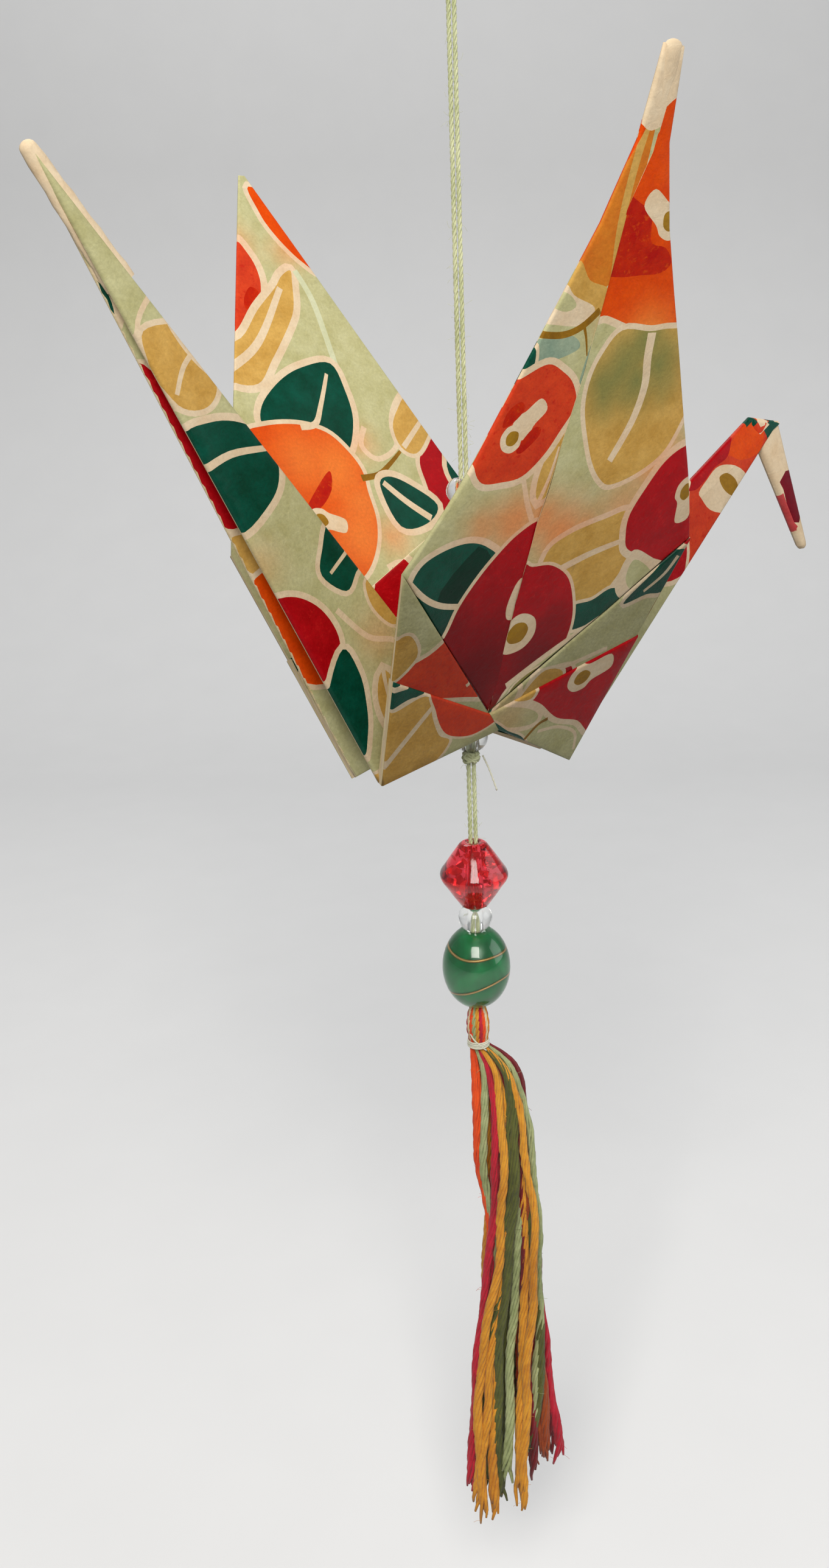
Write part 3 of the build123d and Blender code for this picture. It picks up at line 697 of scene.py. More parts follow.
def on_main(out):
    return lambda x, y: np.array([x, out * (y + CORNER)])


def on_flap(out, side):
    def f(x, y):
        u, v = mirrored((x, y + CORNER), (0, HALF + CORNER), (side * CORNER, CORNER))
        return np.array([u, out * v])
    return f


def on_strip(out, side):
    def f(x, y):
        u, v = narrowed(side * x, y)
        return np.array([side * u, out * (v + CORNER)])
    return f


def on_low(out, side):
    def f(x, y):
        u, v = narrowed(side * x, y)
        return np.array([side * (CORNER - v), out * u])
    return f


def on_leg(out, side):
    return lambda x, y: np.array([side * (CORNER - y), out * abs(x)])


def on_head(out):
    return lambda x, y: np.array([CORNER - y, out * (x + 0.5)])


def on_hump(out):
    return lambda x, y: np.array([x, out * (CORNER - y)])


def flat_onto(flat, solid):
    """Moves a flat triangle onto three points in space."""
    (ax, ay), (bx, by), (cx, cy) = flat
    inverse = np.linalg.inv(np.array([[bx - ax, cx - ax], [by - ay, cy - ay]]))
    a, b, c = (np.asarray(s, float) for s in solid)
    normal = np.cross(b - a, c - a)
    normal /= np.linalg.norm(normal)

    def f(x, y, lift=0.0):
        s, t = inverse @ np.array([x - ax, y - ay])
        return a + s * (b - a) + t * (c - a) + lift * normal
    return f


# Building the sheet

class Sheet:
    """The folded sheet's mesh while its panels are being added."""

    def __init__(self):
        self.verts, self.uvs, self.faces, self.inks = [], [], [], []
        # Marks on each point: a peach wash of the print, and two kinds of painted shade.
        self.marks = {"glow": [], "painted_shade_wash": [], "painted_darkening": []}

    def add_points(self, points, uvs, glow=0.0, painted_shade_wash=0.0, painted_darkening=0.0):
        """Adds points in millimetres and returns the number of the first."""
        first = len(self.verts)
        self.verts.extend(hung(p) for p in points)
        self.uvs.extend(uvs)
        for name, values in (("glow", glow), ("painted_shade_wash", painted_shade_wash), ("painted_darkening", painted_darkening)):
            self.marks[name].extend(np.broadcast_to(values, len(points)))
        return first

    def add_face(self, corners, ink_number, flip=False):
        self.faces.append(list(corners)[::-1] if flip else list(corners))
        self.inks.append(int(ink_number))


def inside(outline, points):
    x, y = points[:, 0], points[:, 1]
    hit = np.zeros(len(points), bool)
    for (x1, y1), (x2, y2) in zip(outline, np.roll(outline, -1, 0)):
        crosses = (y1 > y) != (y2 > y)
        with np.errstate(divide="ignore", invalid="ignore"):
            hit ^= crosses & (x < (x2 - x1) * (y - y1) / (y2 - y1) + x1)
    return hit


def edge_distance(outline, points, skip=()):
    """Distance of each point from the outline, apart from its skipped sides."""
    best = np.full(len(points), 1e9)
    for i, (a, b) in enumerate(zip(outline, np.roll(outline, -1, 0))):
        if i not in skip:
            d = b - a
            t = np.clip(((points - a) @ d) / (d @ d), 0, 1)
            best = np.minimum(best, np.linalg.norm(points - a - t[:, None] * d, axis=1))
    return best


def divided(loop, size):
    """The same closed outline with points about a set distance apart."""
    out = []
    for a, b in zip(loop, np.roll(loop, -1, 0)):
        count = max(1, int(np.linalg.norm(b - a) / size))
        out.extend(a + (b - a) * i / count for i in range(count))
    return np.array(out)


def inset(outline, by, skip):
    """Outline moved inwards, apart from its skipped sides."""
    ahead = np.roll(outline, -1, 0)
    area = np.sum(outline[:, 0] * ahead[:, 1] - ahead[:, 0] * outline[:, 1])
    sign = 1 if area > 0 else -1
    lines = []
    for i, (a, b) in enumerate(zip(outline, ahead)):
        d = (b - a) / np.linalg.norm(b - a)
        lines.append((a + sign * np.array([-d[1], d[0]]) * (0 if i in skip else by), d))
    out = []
    for i, (c, e) in enumerate(lines):
        a, d = lines[i - 1]
        crossing = np.column_stack([d, -e])
        if abs(np.linalg.det(crossing)) < 0.05:
            out.append(c)
        else:
            out.append(a + d * np.linalg.solve(crossing, c - a)[0])
    return np.array(out)


def grid_inside(outline, step, margin):
    """Staggered points inside the outline, clear of its edge."""
    low, high = outline.min(0), outline.max(0)
    x, y = np.meshgrid(np.arange(low[0], high[0], step), np.arange(low[1], high[1], step))
    x = x + (np.arange(x.shape[0])[:, None] % 2) * step / 2
    grid = np.column_stack([x.ravel(), y.ravel()])
    grid = grid[inside(outline, grid)]
    return grid[edge_distance(outline, grid) > margin]


def spots(spec, uv):
    """How strongly a list of soft washes marks each place on the sheet."""
    total = np.zeros(len(uv))
    for u, v, radius, strength in spec:
        far = (uv[:, 0] - u) ** 2 + (uv[:, 1] - v) ** 2
        total = np.maximum(total, strength * np.exp(-far / (radius * radius)))
    return np.clip(total, 0, 1)


def painted_low_shade(points):
    """Painted shade that darkens the colour of the low parts of the crane, where its thick layers let less
    light through.
    """
    heights = np.array([hung(p)[2] for p in points])
    return SHADE_MOST * np.clip((SHADE_TOP - heights) / SHADE_DEPTH, 0, 1)


def printed(where):
    """Number of the ink at each place on the sheet."""
    label = np.zeros(len(where), int)
    for number, motif, low, high in PRINT:
        near = np.where(((where > low) & (where < high)).all(1))[0]
        if len(near):
            label[near[inside(motif, where[near])]] = number
    return label


def panel(sheet, outline, place, paper, edge_lift, face_lift, skip=(), step=1.7, plain=None,
          flip=False, rim=0.3, worn_edge_and_painted_highlight=False, wave=0.0, painted_darkening=0.0):
    """One face of a fold: triangles cut along the print, with rounded edges.

    place puts a flat point in space, and paper gives its place on the sheet. The last argument is a share of
    painted shade over the whole face.
    """
    outline = np.array(outline, float)
    centre, low, high = outline.mean(0), outline.min(0), outline.max(0)
    base, h = paper(*centre), 1e-3
    along_x = (paper(centre[0] + h, centre[1]) - base) / h
    along_y = (paper(centre[0], centre[1] + h) - base) / h
    slope = np.column_stack([along_x, along_y])

    def to_paper(points):
        return base + (points - centre) @ slope.T

    points = [Vector(p) for p in grid_inside(outline, step, rim * 1.6)]
    edges = []

    def add_loop(loop):
        first, count = len(points), len(loop)
        points.extend(Vector(p) for p in loop)
        edges.extend((first + i, first + (i + 1) % count) for i in range(count))

    add_loop(divided(outline, step))
    for by in (0.12 * rim, 0.45 * rim, rim):
        add_loop(divided(inset(outline, by, skip), step))
    if plain is None:
        to_flat = np.linalg.inv(slope).T
        for _, motif, _, _ in PRINT:
            flat = centre + (motif - base) @ to_flat
            if (flat.max(0) >= low).all() and (flat.min(0) <= high).all():
                add_loop(flat)
    verts, _, tris, _, _, _ = delaunay_2d_cdt(points, edges, [], 0, 1e-5, False)
    flat, tris = np.array([tuple(v) for v in verts]), np.array(list(tris))
    middles = flat[tris].mean(1)
    kept = inside(outline, middles)
    tris, middles = tris[kept], middles[kept]

    part = np.clip(edge_distance(outline, flat, skip) / rim, 0, 1)
    lift = edge_lift + (face_lift - edge_lift) * np.sqrt(np.clip(1 - (1 - part) ** 2, 0, 1))
    uv = to_paper(flat)
    ripple = np.sin(uv[:, 0] * 0.33 + 1.3 * np.sin(uv[:, 1] * 0.11)) * np.cos(uv[:, 1] * 0.27)
    lift = lift + wave * part * ripple
    used = np.unique(tris)
    solid = [place(flat[i][0], flat[i][1], lift[i]) for i in used]
    uv = uv[used]
    first = sheet.add_points(solid, uv, spots(GLOW, uv), spots(PAINTED_SHADE_SPOTS, uv), painted_darkening + painted_low_shade(solid))

    label = np.full(len(tris), INK_NAMES.index(plain)) if plain else printed(to_paper(middles))
    # Pale paper band along folded edges: paper worn bare where the print cracks, and a painted highlight
    # along the fold.
    if worn_edge_and_painted_highlight:
        label[edge_distance(outline, middles, skip) < 0.3 * rim] = INK_NAMES.index("edge")
    for corners, number in zip((first + np.searchsorted(used, tris)).tolist(), label):
        sheet.add_face(corners, number, flip)


def wall(sheet, line, place, low, high, layers=3, flip=False):
    """Narrow side of a stack of paper layers along a line of flat points."""
    heights = [low + (high - low) * k / layers for k in range(layers + 1)]
    for a, b in zip(line, line[1:]):
        a, b = np.array(a, float), np.array(b, float)
        count = max(1, int(np.linalg.norm(b - a) / 2))
        for i in range(count):
            p, q = a + (b - a) * i / count, a + (b - a) * (i + 1) / count
            for k, (under, over) in enumerate(zip(heights, heights[1:])):
                corners = ((p, under), (q, under), (q, over), (p, over))
                solid = [place(s[0], s[1], lift) for s, lift in corners]
                uvs = [np.array([s[0] * 1.7, lift * 9 + s[1]]) for s, lift in corners]
                # Painted shade darkens the sides of the layers.
                first = sheet.add_points(solid, uvs, painted_darkening=0.15)
                colour = "cream" if k == 1 else "edge"
                sheet.add_face(range(first, first + 4), INK_NAMES.index(colour), flip)


def rolled_tip(sheet, start, end, across, widths, thick):
    """Paper rolled round itself at a tip: a blunt stick from start to end."""
    along = (end - start) / np.linalg.norm(end - start)
    u = across - (across @ along) * along
    u /= np.linalg.norm(u)
    v = np.cross(along, u)
    length = np.linalg.norm(end - start)
    wider, thicker = widths[1] - widths[0], thick[1] - thick[0]
    rows = [(s * length, widths[0] + wider * s, thick[0] + thicker * s) for s in np.linspace(0, 1, 12)]
    for a in (radians(25), radians(50), radians(70), radians(84)):
        rows.append((length + widths[1] * 0.8 * sin(a), widths[1] * cos(a), thick[1] * cos(a)))
    first, sides = len(sheet.verts), 18
    angles = [2 * pi * k / sides for k in range(sides)]
    for at, w, h in rows:
        ring = []
        for a in angles:
            bump = 1 + 0.05 * sin(at * 1.7 + 2 * a)
            ring.append(start + along * at + u * w * cos(a) * bump + v * h * sin(a) * bump)
        sheet.add_points(ring, [np.array([at + 300, a * w]) for a in angles])
    cream = INK_NAMES.index("cream")
    for r in range(len(rows) - 1):
        for k in range(sides):
            a, b = first + r * sides + k, first + r * sides + (k + 1) % sides
            sheet.add_face((a, b, b + sides, a + sides), cream)
    last = first + (len(rows) - 1) * sides
    sheet.add_face(range(last, last + sides), cream)


# A wing's right edge and its seam, as flat points from the tip down. The near
# wing's tip is rolled to a stick, and its seam wanders.
NEAR_TOP, FAR_TOP = 77.0, 75.0
NEAR_EDGE = [(1.3, NEAR_TOP), (2.1, NEAR_TOP - 8.5), (4.6, NEAR_TOP - 16.3), (14.6, NEAR_TOP - 39)]
NEAR_SEAM = [(0.4, NEAR_TOP), (0.5, 72.4), (0.1, 67.5), (-1.7, 62.1), (-2.1, 57.2), (-2.4, 52.4),
             (-2.8, 46.3), (-4.0, 38.5), (-4.6, 30.5), (-4.0, 21.7), (-2.5, 9.1), (-2.3, TUCK_Y)]
FAR_EDGE, FAR_SEAM = [(0.45, FAR_TOP)], [(0, FAR_TOP), (0, TUCK_Y)]


def wing(sheet, half, right, seam):
    """One wing's inner face, its two outer flaps and the layers tucked below them."""
    out, place = half.out, half.at
    flip = out < 0
    left = [other_side(p) for p in reversed(right)]
    free, gusset = (FREE_X, FREE_Y), (GUSSET_X, GUSSET_Y)
    outline = right + [free, gusset, other_side(gusset), other_side(free)] + left
    panel(sheet, outline, place, on_main(out), 0, -LAYER, flip=not flip, wave=0.12 * out)
    for side, run in ((1, right), (-1, left[::-1])):
        corner, g, v = (side * FREE_X, FREE_Y), (side * GUSSET_X, GUSSET_Y), KEEL_CORNERS[side]
        edge = [(x - side * SEAM_SHIFT, y) for x, y in seam]
        outline = run + [corner] + edge[::-1]
        height = LAYER + (SEAM_STEP if side > 0 else 0)
        panel(sheet, outline, place, on_flap(out, side), 0, height, rim=0.25, wave=0.1, flip=flip,
              skip=range(len(run) + 1, len(outline) - 1))
        if side > 0:
            wall(sheet, edge, place, LAYER - 0.01, height, 1, flip=not flip)
        tuck = (seam[-1][0] + side * 0.02, TUCK_Y)
        strip, low = [corner, tuck, g], [g, tuck, (side * 0.02, NOTCH_Y), v]
        # Painted shade: the strip and the layer tucked below the flaps are darkened.
        panel(sheet, strip, place, on_strip(out, side), LAYER, 2 * LAYER, skip=(1,), flip=flip,
              rim=0.24, painted_darkening=0.3)
        panel(sheet, low, place, on_low(out, side), 1.7 * LAYER, 3 * LAYER, skip=(1,), flip=flip,
              rim=0.24, painted_darkening=0.2)
        root = [g, v, (0, NOTCH_Y)]
        wall(sheet, [corner, g], place, 0, LAYER, flip=out * side < 0)
        wall(sheet, root, place, -LAYER, 2 * LAYER, flip=out * side < 0)
        panel(sheet, root, place, on_leg(out, side), -LAYER + 0.05, -LAYER, flip=not flip,
              rim=0.2, worn_edge_and_painted_highlight=True)


def hump(sheet, half):
    """One slope of the hump between the wings, and the gussets at its ends."""
    out, half_layer = half.out, LAYER / 2
    gusset = (GUSSET_X, GUSSET_Y)
    flat = [(0, CORNER), other_side(gusset), gusset]
    place = flat_onto(flat, [APEX, half.at(*other_side(gusset)), half.at(*gusset)])
    panel(sheet, flat, place, on_hump(out), 0, -half_layer * out, rim=0.12, wave=0.1, flip=out < 0)
    panel(sheet, flat, place, on_hump(out), 0, half_layer * out, rim=0.12, flip=out > 0,
          plain="back", worn_edge_and_painted_highlight=True)
    for side in (1, -1):
        g = (side * GUSSET_X, GUSSET_Y)
        flat = [(0, CORNER), g, (0, NOTCH_Y)]
        place = flat_onto(flat, [APEX, half.at(*g), NOTCH])
        panel(sheet, flat, place, on_leg(out, side), 0, half_layer, rim=0.12)
        panel(sheet, flat, place, on_leg(out, side), 0, -half_layer, rim=0.12, flip=True)


def head_points():
    """End of the neck's spine, the brow in space and flat, and the beak's direction."""
    rise, along = leg_direction(1)
    end = NOTCH + along * (HALF + NOTCH_Y - HEAD)
    lean = rise - CREASE
    reach = HEAD * sin(radians(11.25)) / sin(pi - radians(11.25) - lean)
    brow = end + np.array([cos(CREASE), 0, sin(CREASE)]) * reach
    flat_brow = (reach * sin(lean), -HALF + HEAD - reach * cos(lean))
    turn = 2 * CREASE - rise - DROOP
    return end, brow, flat_brow, np.array([cos(turn), 0, sin(turn)])


def leg_wall(sheet, out, side, flat, solid, shown, skip):
    """Outer and inner face of one wall of the neck or tail."""
    place = flat_onto(flat, solid)
    middle = np.mean(shown, 0)
    normal = place(*middle, 1.0) - place(*middle, 0.0)
    facing = 1 if -out * normal[1] > 0 else -1
    lift, turn = LEG_THICK * facing, out * side * facing
    # Painted shade darkens the outer face a little.
    panel(sheet, shown, place, on_leg(out, side), 0, lift, skip=skip, flip=turn < 0, painted_darkening=0.08)
    panel(sheet, shown, place, on_low(out, side), 0, -lift, skip=skip, flip=turn > 0, worn_edge_and_painted_highlight=True)


def neck(sheet):
    """The neck's walls, with a second triangle each behind the brow."""
    end, brow, flat_brow, _ = head_points()
    corner, notch, flat_end = KEEL_CORNERS[1], (0, NOTCH_Y), (0, -HALF + HEAD)
    for half in (NEAR, FAR):
        jaw = brow + np.array([0, -half.out, 0]) * LEG_GAP
        low = [notch, corner, flat_brow]
        leg_wall(sheet, half.out, 1, low, [NOTCH, half.at(*corner), jaw], low, skip=(2,))
        shown = [(0.25, NOTCH_Y - 0.4), (flat_brow[0] + 0.3, flat_brow[1]), flat_end]
        leg_wall(sheet, half.out, 1, [notch, flat_brow, flat_end], [NOTCH, jaw, end], shown, skip=(0,))


def tail(sheet):
    """The tail's walls, cut blunt at their end."""
    _, along = leg_direction(-1)
    corner = KEEL_CORNERS[-1]
    for half in (NEAR, FAR):
        end = NOTCH + along * (HALF + NOTCH_Y - TAIL_CUT)
        jaw = end + np.array([0, -half.out, 0]) * LEG_GAP - np.array([along[2], 0, -along[0]]) * 0.4
        flat = [(0, NOTCH_Y), corner, (-NARROW * TAIL_CUT, -HALF + TAIL_CUT)]
        leg_wall(sheet, half.out, -1, flat, [NOTCH, half.at(*corner), jaw], flat, skip=())


def head(sheet):
    """Blunt stick of folded layers in front of the neck's crease."""
    end, brow, flat_brow, ahead = head_points()
    tip = end + ahead * (HEAD - 0.5)
    flat = [(0, -HALF + HEAD), flat_brow, (0, -HALF + 0.5)]
    place = flat_onto(flat, [end, brow, tip])
    beak = [(0.62, 0.9), (0.4, 0.35), (-0.1, 0.15), (-0.5, 0.5), (-0.66, 1.2)]
    outline = [(-0.55, -HALF + HEAD - 0.7), flat[0], flat_brow] + [(x, -HALF + y) for x, y in beak]
    normal = place(1, -60, 1.0) - place(1, -60, 0.0)
    for out in (1, -1):
        facing = -out * (1 if normal[1] > 0 else -1)
        panel(sheet, outline, place, on_head(out), 0, HEAD_THICK * facing, rim=0.6, flip=facing < 0, step=1.0)


def rolled_tips(sheet):
    """The sticks at the end of the near wing and along the end of the tail."""
    rolled_tip(sheet, NEAR.at(0, 68.9, 0.03), NEAR.at(0, 76.5, 0.03), NEAR.x, (1.34, 1.22), (0.18, 0.5))
    rise, spine = leg_direction(-1)
    below = np.array([-sin(rise), 0, -cos(rise)])
    stick = NOTCH + spine * (HALF + NOTCH_Y)
    start, end = stick - spine * 16.6 + below * 1.35, stick - spine * 2.6 + below * 0.35
    rolled_tip(sheet, start, end, below, (1.66, 0.86), (0.72, 0.7))


def build_crane():
    sheet = Sheet()
    wing(sheet, NEAR, NEAR_EDGE, NEAR_SEAM)
    hump(sheet, NEAR)
    wing(sheet, FAR, FAR_EDGE, FAR_SEAM)
    hump(sheet, FAR)
    neck(sheet)
    tail(sheet)
    head(sheet)
    rolled_tips(sheet)
    crane = new_object("folded_sheet", sheet.verts, sheet.faces, INKS.values(), sheet.inks)
    mesh = crane.data
    corners = np.empty(len(mesh.loops), int)
    mesh.loops.foreach_get("vertex_index", corners)
    mesh.uv_layers.new(name="sheet").data.foreach_set("uv", np.array(sheet.uvs)[corners].ravel())
    for name, values in sheet.marks.items():
        mesh.attributes.new(name, "FLOAT", "POINT").data.foreach_set("value", np.array(values, float))
    mesh.update()
    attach(crane, "root")
    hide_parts("paper_crane")


build_crane()

# Heights of what hangs on the thread
TOP_Z, STOPPER_Z, KNOT_Z = 28.8, 0.5, -1.685
RED_Z, SPACER_Z, GREEN_Z, TIE_Z = -15.835, -21.175, -27.115, -36.655
# The front view's turn from the crane's own directions
FACING = radians(-35)


def faced(x, y, z):
    """From the front view's own directions to the crane's."""
    return np.array([x * cos(FACING) - y * sin(FACING), x * sin(FACING) + y * cos(FACING), z])


def even(points, step):
    """The same line with points a set distance apart."""
    p = np.array(points, float)
    run = np.concatenate([[0], np.cumsum(np.linalg.norm(np.diff(p, axis=0), axis=1))])
    at = np.linspace(0, run[-1], max(2, int(run[-1] / step) + 1))
    return np.column_stack([np.interp(at, run, p[:, k]) for k in range(3)]), at


def curved(points, steps=8):
    """Smooth open line through points."""
    p = [np.array(q, float) for q in points]
    p = [2 * p[0] - p[1]] + p + [2 * p[-1] - p[-2]]
    out = []
    for a, b, c, d in zip(p, p[1:], p[2:], p[3:]):
        out.extend(between(a, b, c, d, steps))
    return np.array(out + [p[-2]])


def frames(p):
    """Two directions across a line at each point, without twist."""
    along = np.gradient(p, axis=0)
    along /= np.linalg.norm(along, axis=1, keepdims=True)
    a = np.cross(along[0], [0.3, 0.9, 0.2])
    first = []
    for t in along:
        a = a - (a @ t) * t
        a = a / np.linalg.norm(a)
        first.append(a)
    return np.array(first), np.cross(along, first)


def plies(line, at, count, radius, pitch, phase=0.0):
    """Lines of the plies that twist round one line."""
    u, v = frames(line)
    out = []
    for k in range(count):
        a = (2 * pi * at / pitch + 2 * pi * k / count + phase)[:, None]
        out.append(line + (u * np.cos(a) + v * np.sin(a)) * np.reshape(radius, (-1, 1)))
    return out


def tubes(name, lines, materials, sides=6, ends=True):
    """One mesh of tubes; each line is (points, radii, material number)."""
    verts, faces, numbers = [], [], []
    ring = [2 * pi * k / sides for k in range(sides)]
    for p, radius, number in lines:
        p = np.array(p)
        u, v = frames(p)
        first, last = len(verts), len(verts) + (len(p) - 1) * sides
        for k, r in enumerate(np.broadcast_to(radius, len(p))):
            verts.extend(hung(p[k] + r * (cos(a) * u[k] + sin(a) * v[k])) for a in ring)
        for row in range(first, last, sides):
            for s in range(sides):
                a, b = row + s, row + (s + 1) % sides
                faces.append((a, b, b + sides, a + sides))
        if ends:
            faces.append(tuple(reversed(range(first, first + sides))))
            faces.append(tuple(range(last, last + sides)))
        numbers.extend([number] * (len(faces) - len(numbers)))
    made = new_object(name, verts, faces, materials, numbers)
    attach(made, "root")
    return made


def yarn(name, colour, second, sheen=0.4):
    """Cotton: fibres that vary in tone, with a soft edge."""
    look = Look(name)
    where = look.place()
    fibre = look.noise(where, scale=900, detail=6.0, roughness=0.7)
    slow = look.noise(where, scale=120.0, detail=3.0)
    tone = look.math("MULTIPLY", look.math("ADD", fibre, slow), 0.5)
    look.bump(look.noise(where, scale=5200.0, detail=3.0), strength=0.7, distance=0.00006)
    look.set({
        "Base Color": look.ramp(tone, second, colour, at=(0.38, 0.62)),
        "Roughness": 0.75,
        "Sheen Weight": sheen,
        "Sheen Roughness": 0.5,
    })
    return look.material


CORD = yarn("cord_cotton", srgb(212, 216, 176), srgb(178, 184, 136), sheen=0.15)
WHITE = yarn("sewing_thread", srgb(226, 224, 204), srgb(196, 196, 176))
TONES = {
    "orange": ((236, 84, 10), (206, 58, 6)),
    "crimson": ((196, 20, 50), (150, 8, 32)),
    "gold": ((222, 156, 42), (184, 116, 20)),
    "olive": ((92, 96, 38), (58, 64, 22)),
    "sage": ((172, 180, 130), (130, 140, 90)),
    "rust": ((168, 76, 18), (124, 46, 10)),
    "dark_red": ((128, 12, 24), (86, 4, 14)),
}
FLOSS = {}
for name, (light, dark) in TONES.items():
    FLOSS[name] = yarn("floss_" + name, srgb(*light), srgb(*dark), sheen=0.12)
FLOSS["cream"] = yarn("floss_cream", srgb(224, 206, 170), srgb(196, 176, 134))
FLOSS_NAMES = list(FLOSS)


def spline_line(name, points, step):
    """Points along a NURBS line of order 3 with these control points."""
    curve = bpy.data.curves.new(name, "CURVE")
    curve.dimensions = "3D"
    spline = curve.splines.new("NURBS")
    spline.points.add(len(points) - 1)
    for k, p in enumerate(points):
        spline.points[k].co = (*hung(p), 1)
    spline.order_u = 3
    spline.use_endpoint_u = True
    spline.resolution_u = 24
    made = bpy.data.objects.new(name, curve)
    scene.collection.objects.link(made)
    bpy.context.view_layer.update()
    mesh = bpy.data.meshes.new_from_object(made.evaluated_get(bpy.context.evaluated_depsgraph_get()))
    line = np.array([tuple(v.co) for v in mesh.vertices]) * 1000 + [0, 0, LOOP_TOP]
    bpy.data.objects.remove(made)
    return even(line, step)


def cord_fibre(line):
    """A loose fibre that sticks out of the thread."""
    k = rng.randrange(6, len(line) - 6)
    a = rng.uniform(0, 2 * pi)
    out = np.array([cos(a), sin(a), rng.uniform(-0.6, 0.6)])
    reach = rng.uniform(0.3, 0.9)
    bend = np.array([rng.uniform(-1, 1), rng.uniform(-1, 1), rng.uniform(-1.6, 1.6)]) * 0.35
    start = line[k] + out * 0.24
    return curved([start, start + out * reach * 0.5, start + out * reach + bend], 4)


def build_cord():
    end = TIE_Z + 5.02
    route = [(0.3, 0, end), (0.3, 0, 87.5), (0.3, 0, 93.1), (2.3, 0, 98.325), (0, 0, 102.6),
             (-2.3, 0, 98.325), (-0.3, 0, 93.1), (-0.3, 0, 87.5), (-0.3, 0, end)]
    line, at = spline_line("cord_route", [faced(*p) for p in route], 0.25)
    strands = [(p, 0.135, 0) for p in plies(line, at, 3, 0.14, 2.3)]
    strands += [(cord_fibre(line), 0.011, 0) for _ in range(420)]
    cord = tubes("hanging_thread", strands, [CORD])
    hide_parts("hanging_cord")
    path = [hung(p) for p in line]
    length = sum(math.dist(a, b) for a, b in zip(path, path[1:]))
    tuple(path[0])


def build_thread_end():
    points = [(1.36, 0, KNOT_Z), (2.1, 0, KNOT_Z - 1.76), (2.9, 0, KNOT_Z - 4.2)]
    line = curved([faced(*p) for p in points], 8)
    at = np.linspace(0, 4.5, len(line))
    made = tubes("thread_end", [(p, 0.075, 0) for p in plies(line, at, 2, 0.05, 1.1)], [WHITE])
    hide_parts("thread_tail")


def build_knot():
    lines = []
    for lift, size, phase in ((0.32, 0.78, 0.2), (-0.05, 0.86, 1.4), (-0.42, 0.74, 2.6)):
        ring = []
        for t in np.linspace(0, 2 * pi, 25):
            rise = KNOT_Z + lift + 0.16 * sin(2 * t + phase)
            ring.append(faced(size * cos(t + phase), size * 0.9 * sin(t + phase), rise))
        at = np.linspace(0, 2 * pi * size, len(ring))
        lines += [(p, 0.14, 0) for p in plies(np.array(ring), at, 3, 0.13, 1.6)]
    for s in (-1, 1):
        cross = [(s * 0.3, -0.2, 0.7), (s * 0.75, -0.85, 0.1),
                 (-s * 0.35, -0.95, -0.35), (-s * 0.4, -0.2, -0.72)]
        line = curved([faced(x, y, KNOT_Z + z) for x, y, z in cross], 5)
        lines += [(p, 0.13, 0) for p in plies(line, np.linspace(0, 2.4, len(line)), 3, 0.12, 1.6)]
    knot = tubes("thread_knot", lines, [CORD])
    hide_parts("stopper_knot")


# The tassel

# Yarns that show in front: colour, depth at the tie and at the end, length,
# and how far right of the thread each lies at these heights below the tie
YARN_LEVELS = (4, 13, 25, 38, 50)
YARNS = (
    ("orange", -0.9, 0.6, 51, (-0.6, -0.4, 0.9, 0, -0.4)),
    ("orange", -0.5, 0.5, 52, (-0.2, 0, 2, 4.6, 5.2)),
    ("sage", -1.2, 0.5, 51, (0.6, 0.2, 1.3, 2, 2.2)),
    ("crimson", -1.2, -1.6, 55, (1.2, 1.7, 0.6, -1.4, -2.4)),
    ("crimson", -0.7, -1.2, 53, (1.5, 1.7, 0.9, -1.1, -2.2)),
    ("gold", -1.5, -2, 57, (2, 2.5, 1.8, -0.9, -1.7)),
    ("gold", -0.6, -2.6, 58, (2.2, 3, 2.2, 0.4, -1.1)),
    ("gold", 0.2, -2.7, 57, (2.2, 3, 2.9, 1.2, 0.4)),
    ("olive", -1.2, -1.4, 56, (3.1, 3.6, 2.6, 0.4, -0.9)),
    ("olive", -1.4, -1.8, 56, (3.3, 4.1, 3.1, 1.4, 1.1)),
    ("olive", -0.4, -0.9, 57, (3.5, 4.5, 3.4, 2.1, 1.5)),
    ("olive", -0.2, -0.8, 53, (3.9, 4.7, 3.7, 2.5, 1.9)),
    ("olive", 0.1, 0.2, 54, (2.6, 3.3, 2.5, -0.2, -1.4)),
    ("sage", 0.2, -2.9, 53, (2.4, 3.9, 4.2, 3, 2.4)),
    ("rust", -0.1, -0.7, 54, (3.2, 4.7, 4.7, 4.7, 5.8)),
    ("rust", -0.2, -0.8, 53, (3.4, 5.3, 5.6, 5.5, 6.9)),
    ("gold", -1.4, -2.3, 56, (3.6, 5.3, 6.3, 5.2, 4.5)),
    ("gold", 0.2, -2.7, 56, (3, 4.5, 5.2, 4.6, 3.9)),
    ("sage", -0.4, -1.2, 50, (4.2, 6.1, 6.9, 6.8, 5.3)),
    ("dark_red", 0.6, -0.5, 53, (4.6, 5.8, 6.7, 7.5, 8.4)),
    ("rust", 0.2, -1.2, 53, (3.6, 5.6, 6.5, 7.1, 7.9)),
    ("crimson", 0.4, -0.6, 54, (4, 5.9, 6.5, 7.8, 9.4)),
    ("dark_red", -0.4, -1.3, 55, (2.8, 4.5, 4.9, 5.2, 6)),
    ("olive", 0, -1.5, 52, (3.2, 5.3, 6.1, 7.2, 5.8)),
)
# Middle and half width of the bundle at the same heights
BUNDLE = ((2.1, 2.1), (3.3, 2.6), (3.2, 2.9), (2.9, 3.6), (3.3, 4.2))
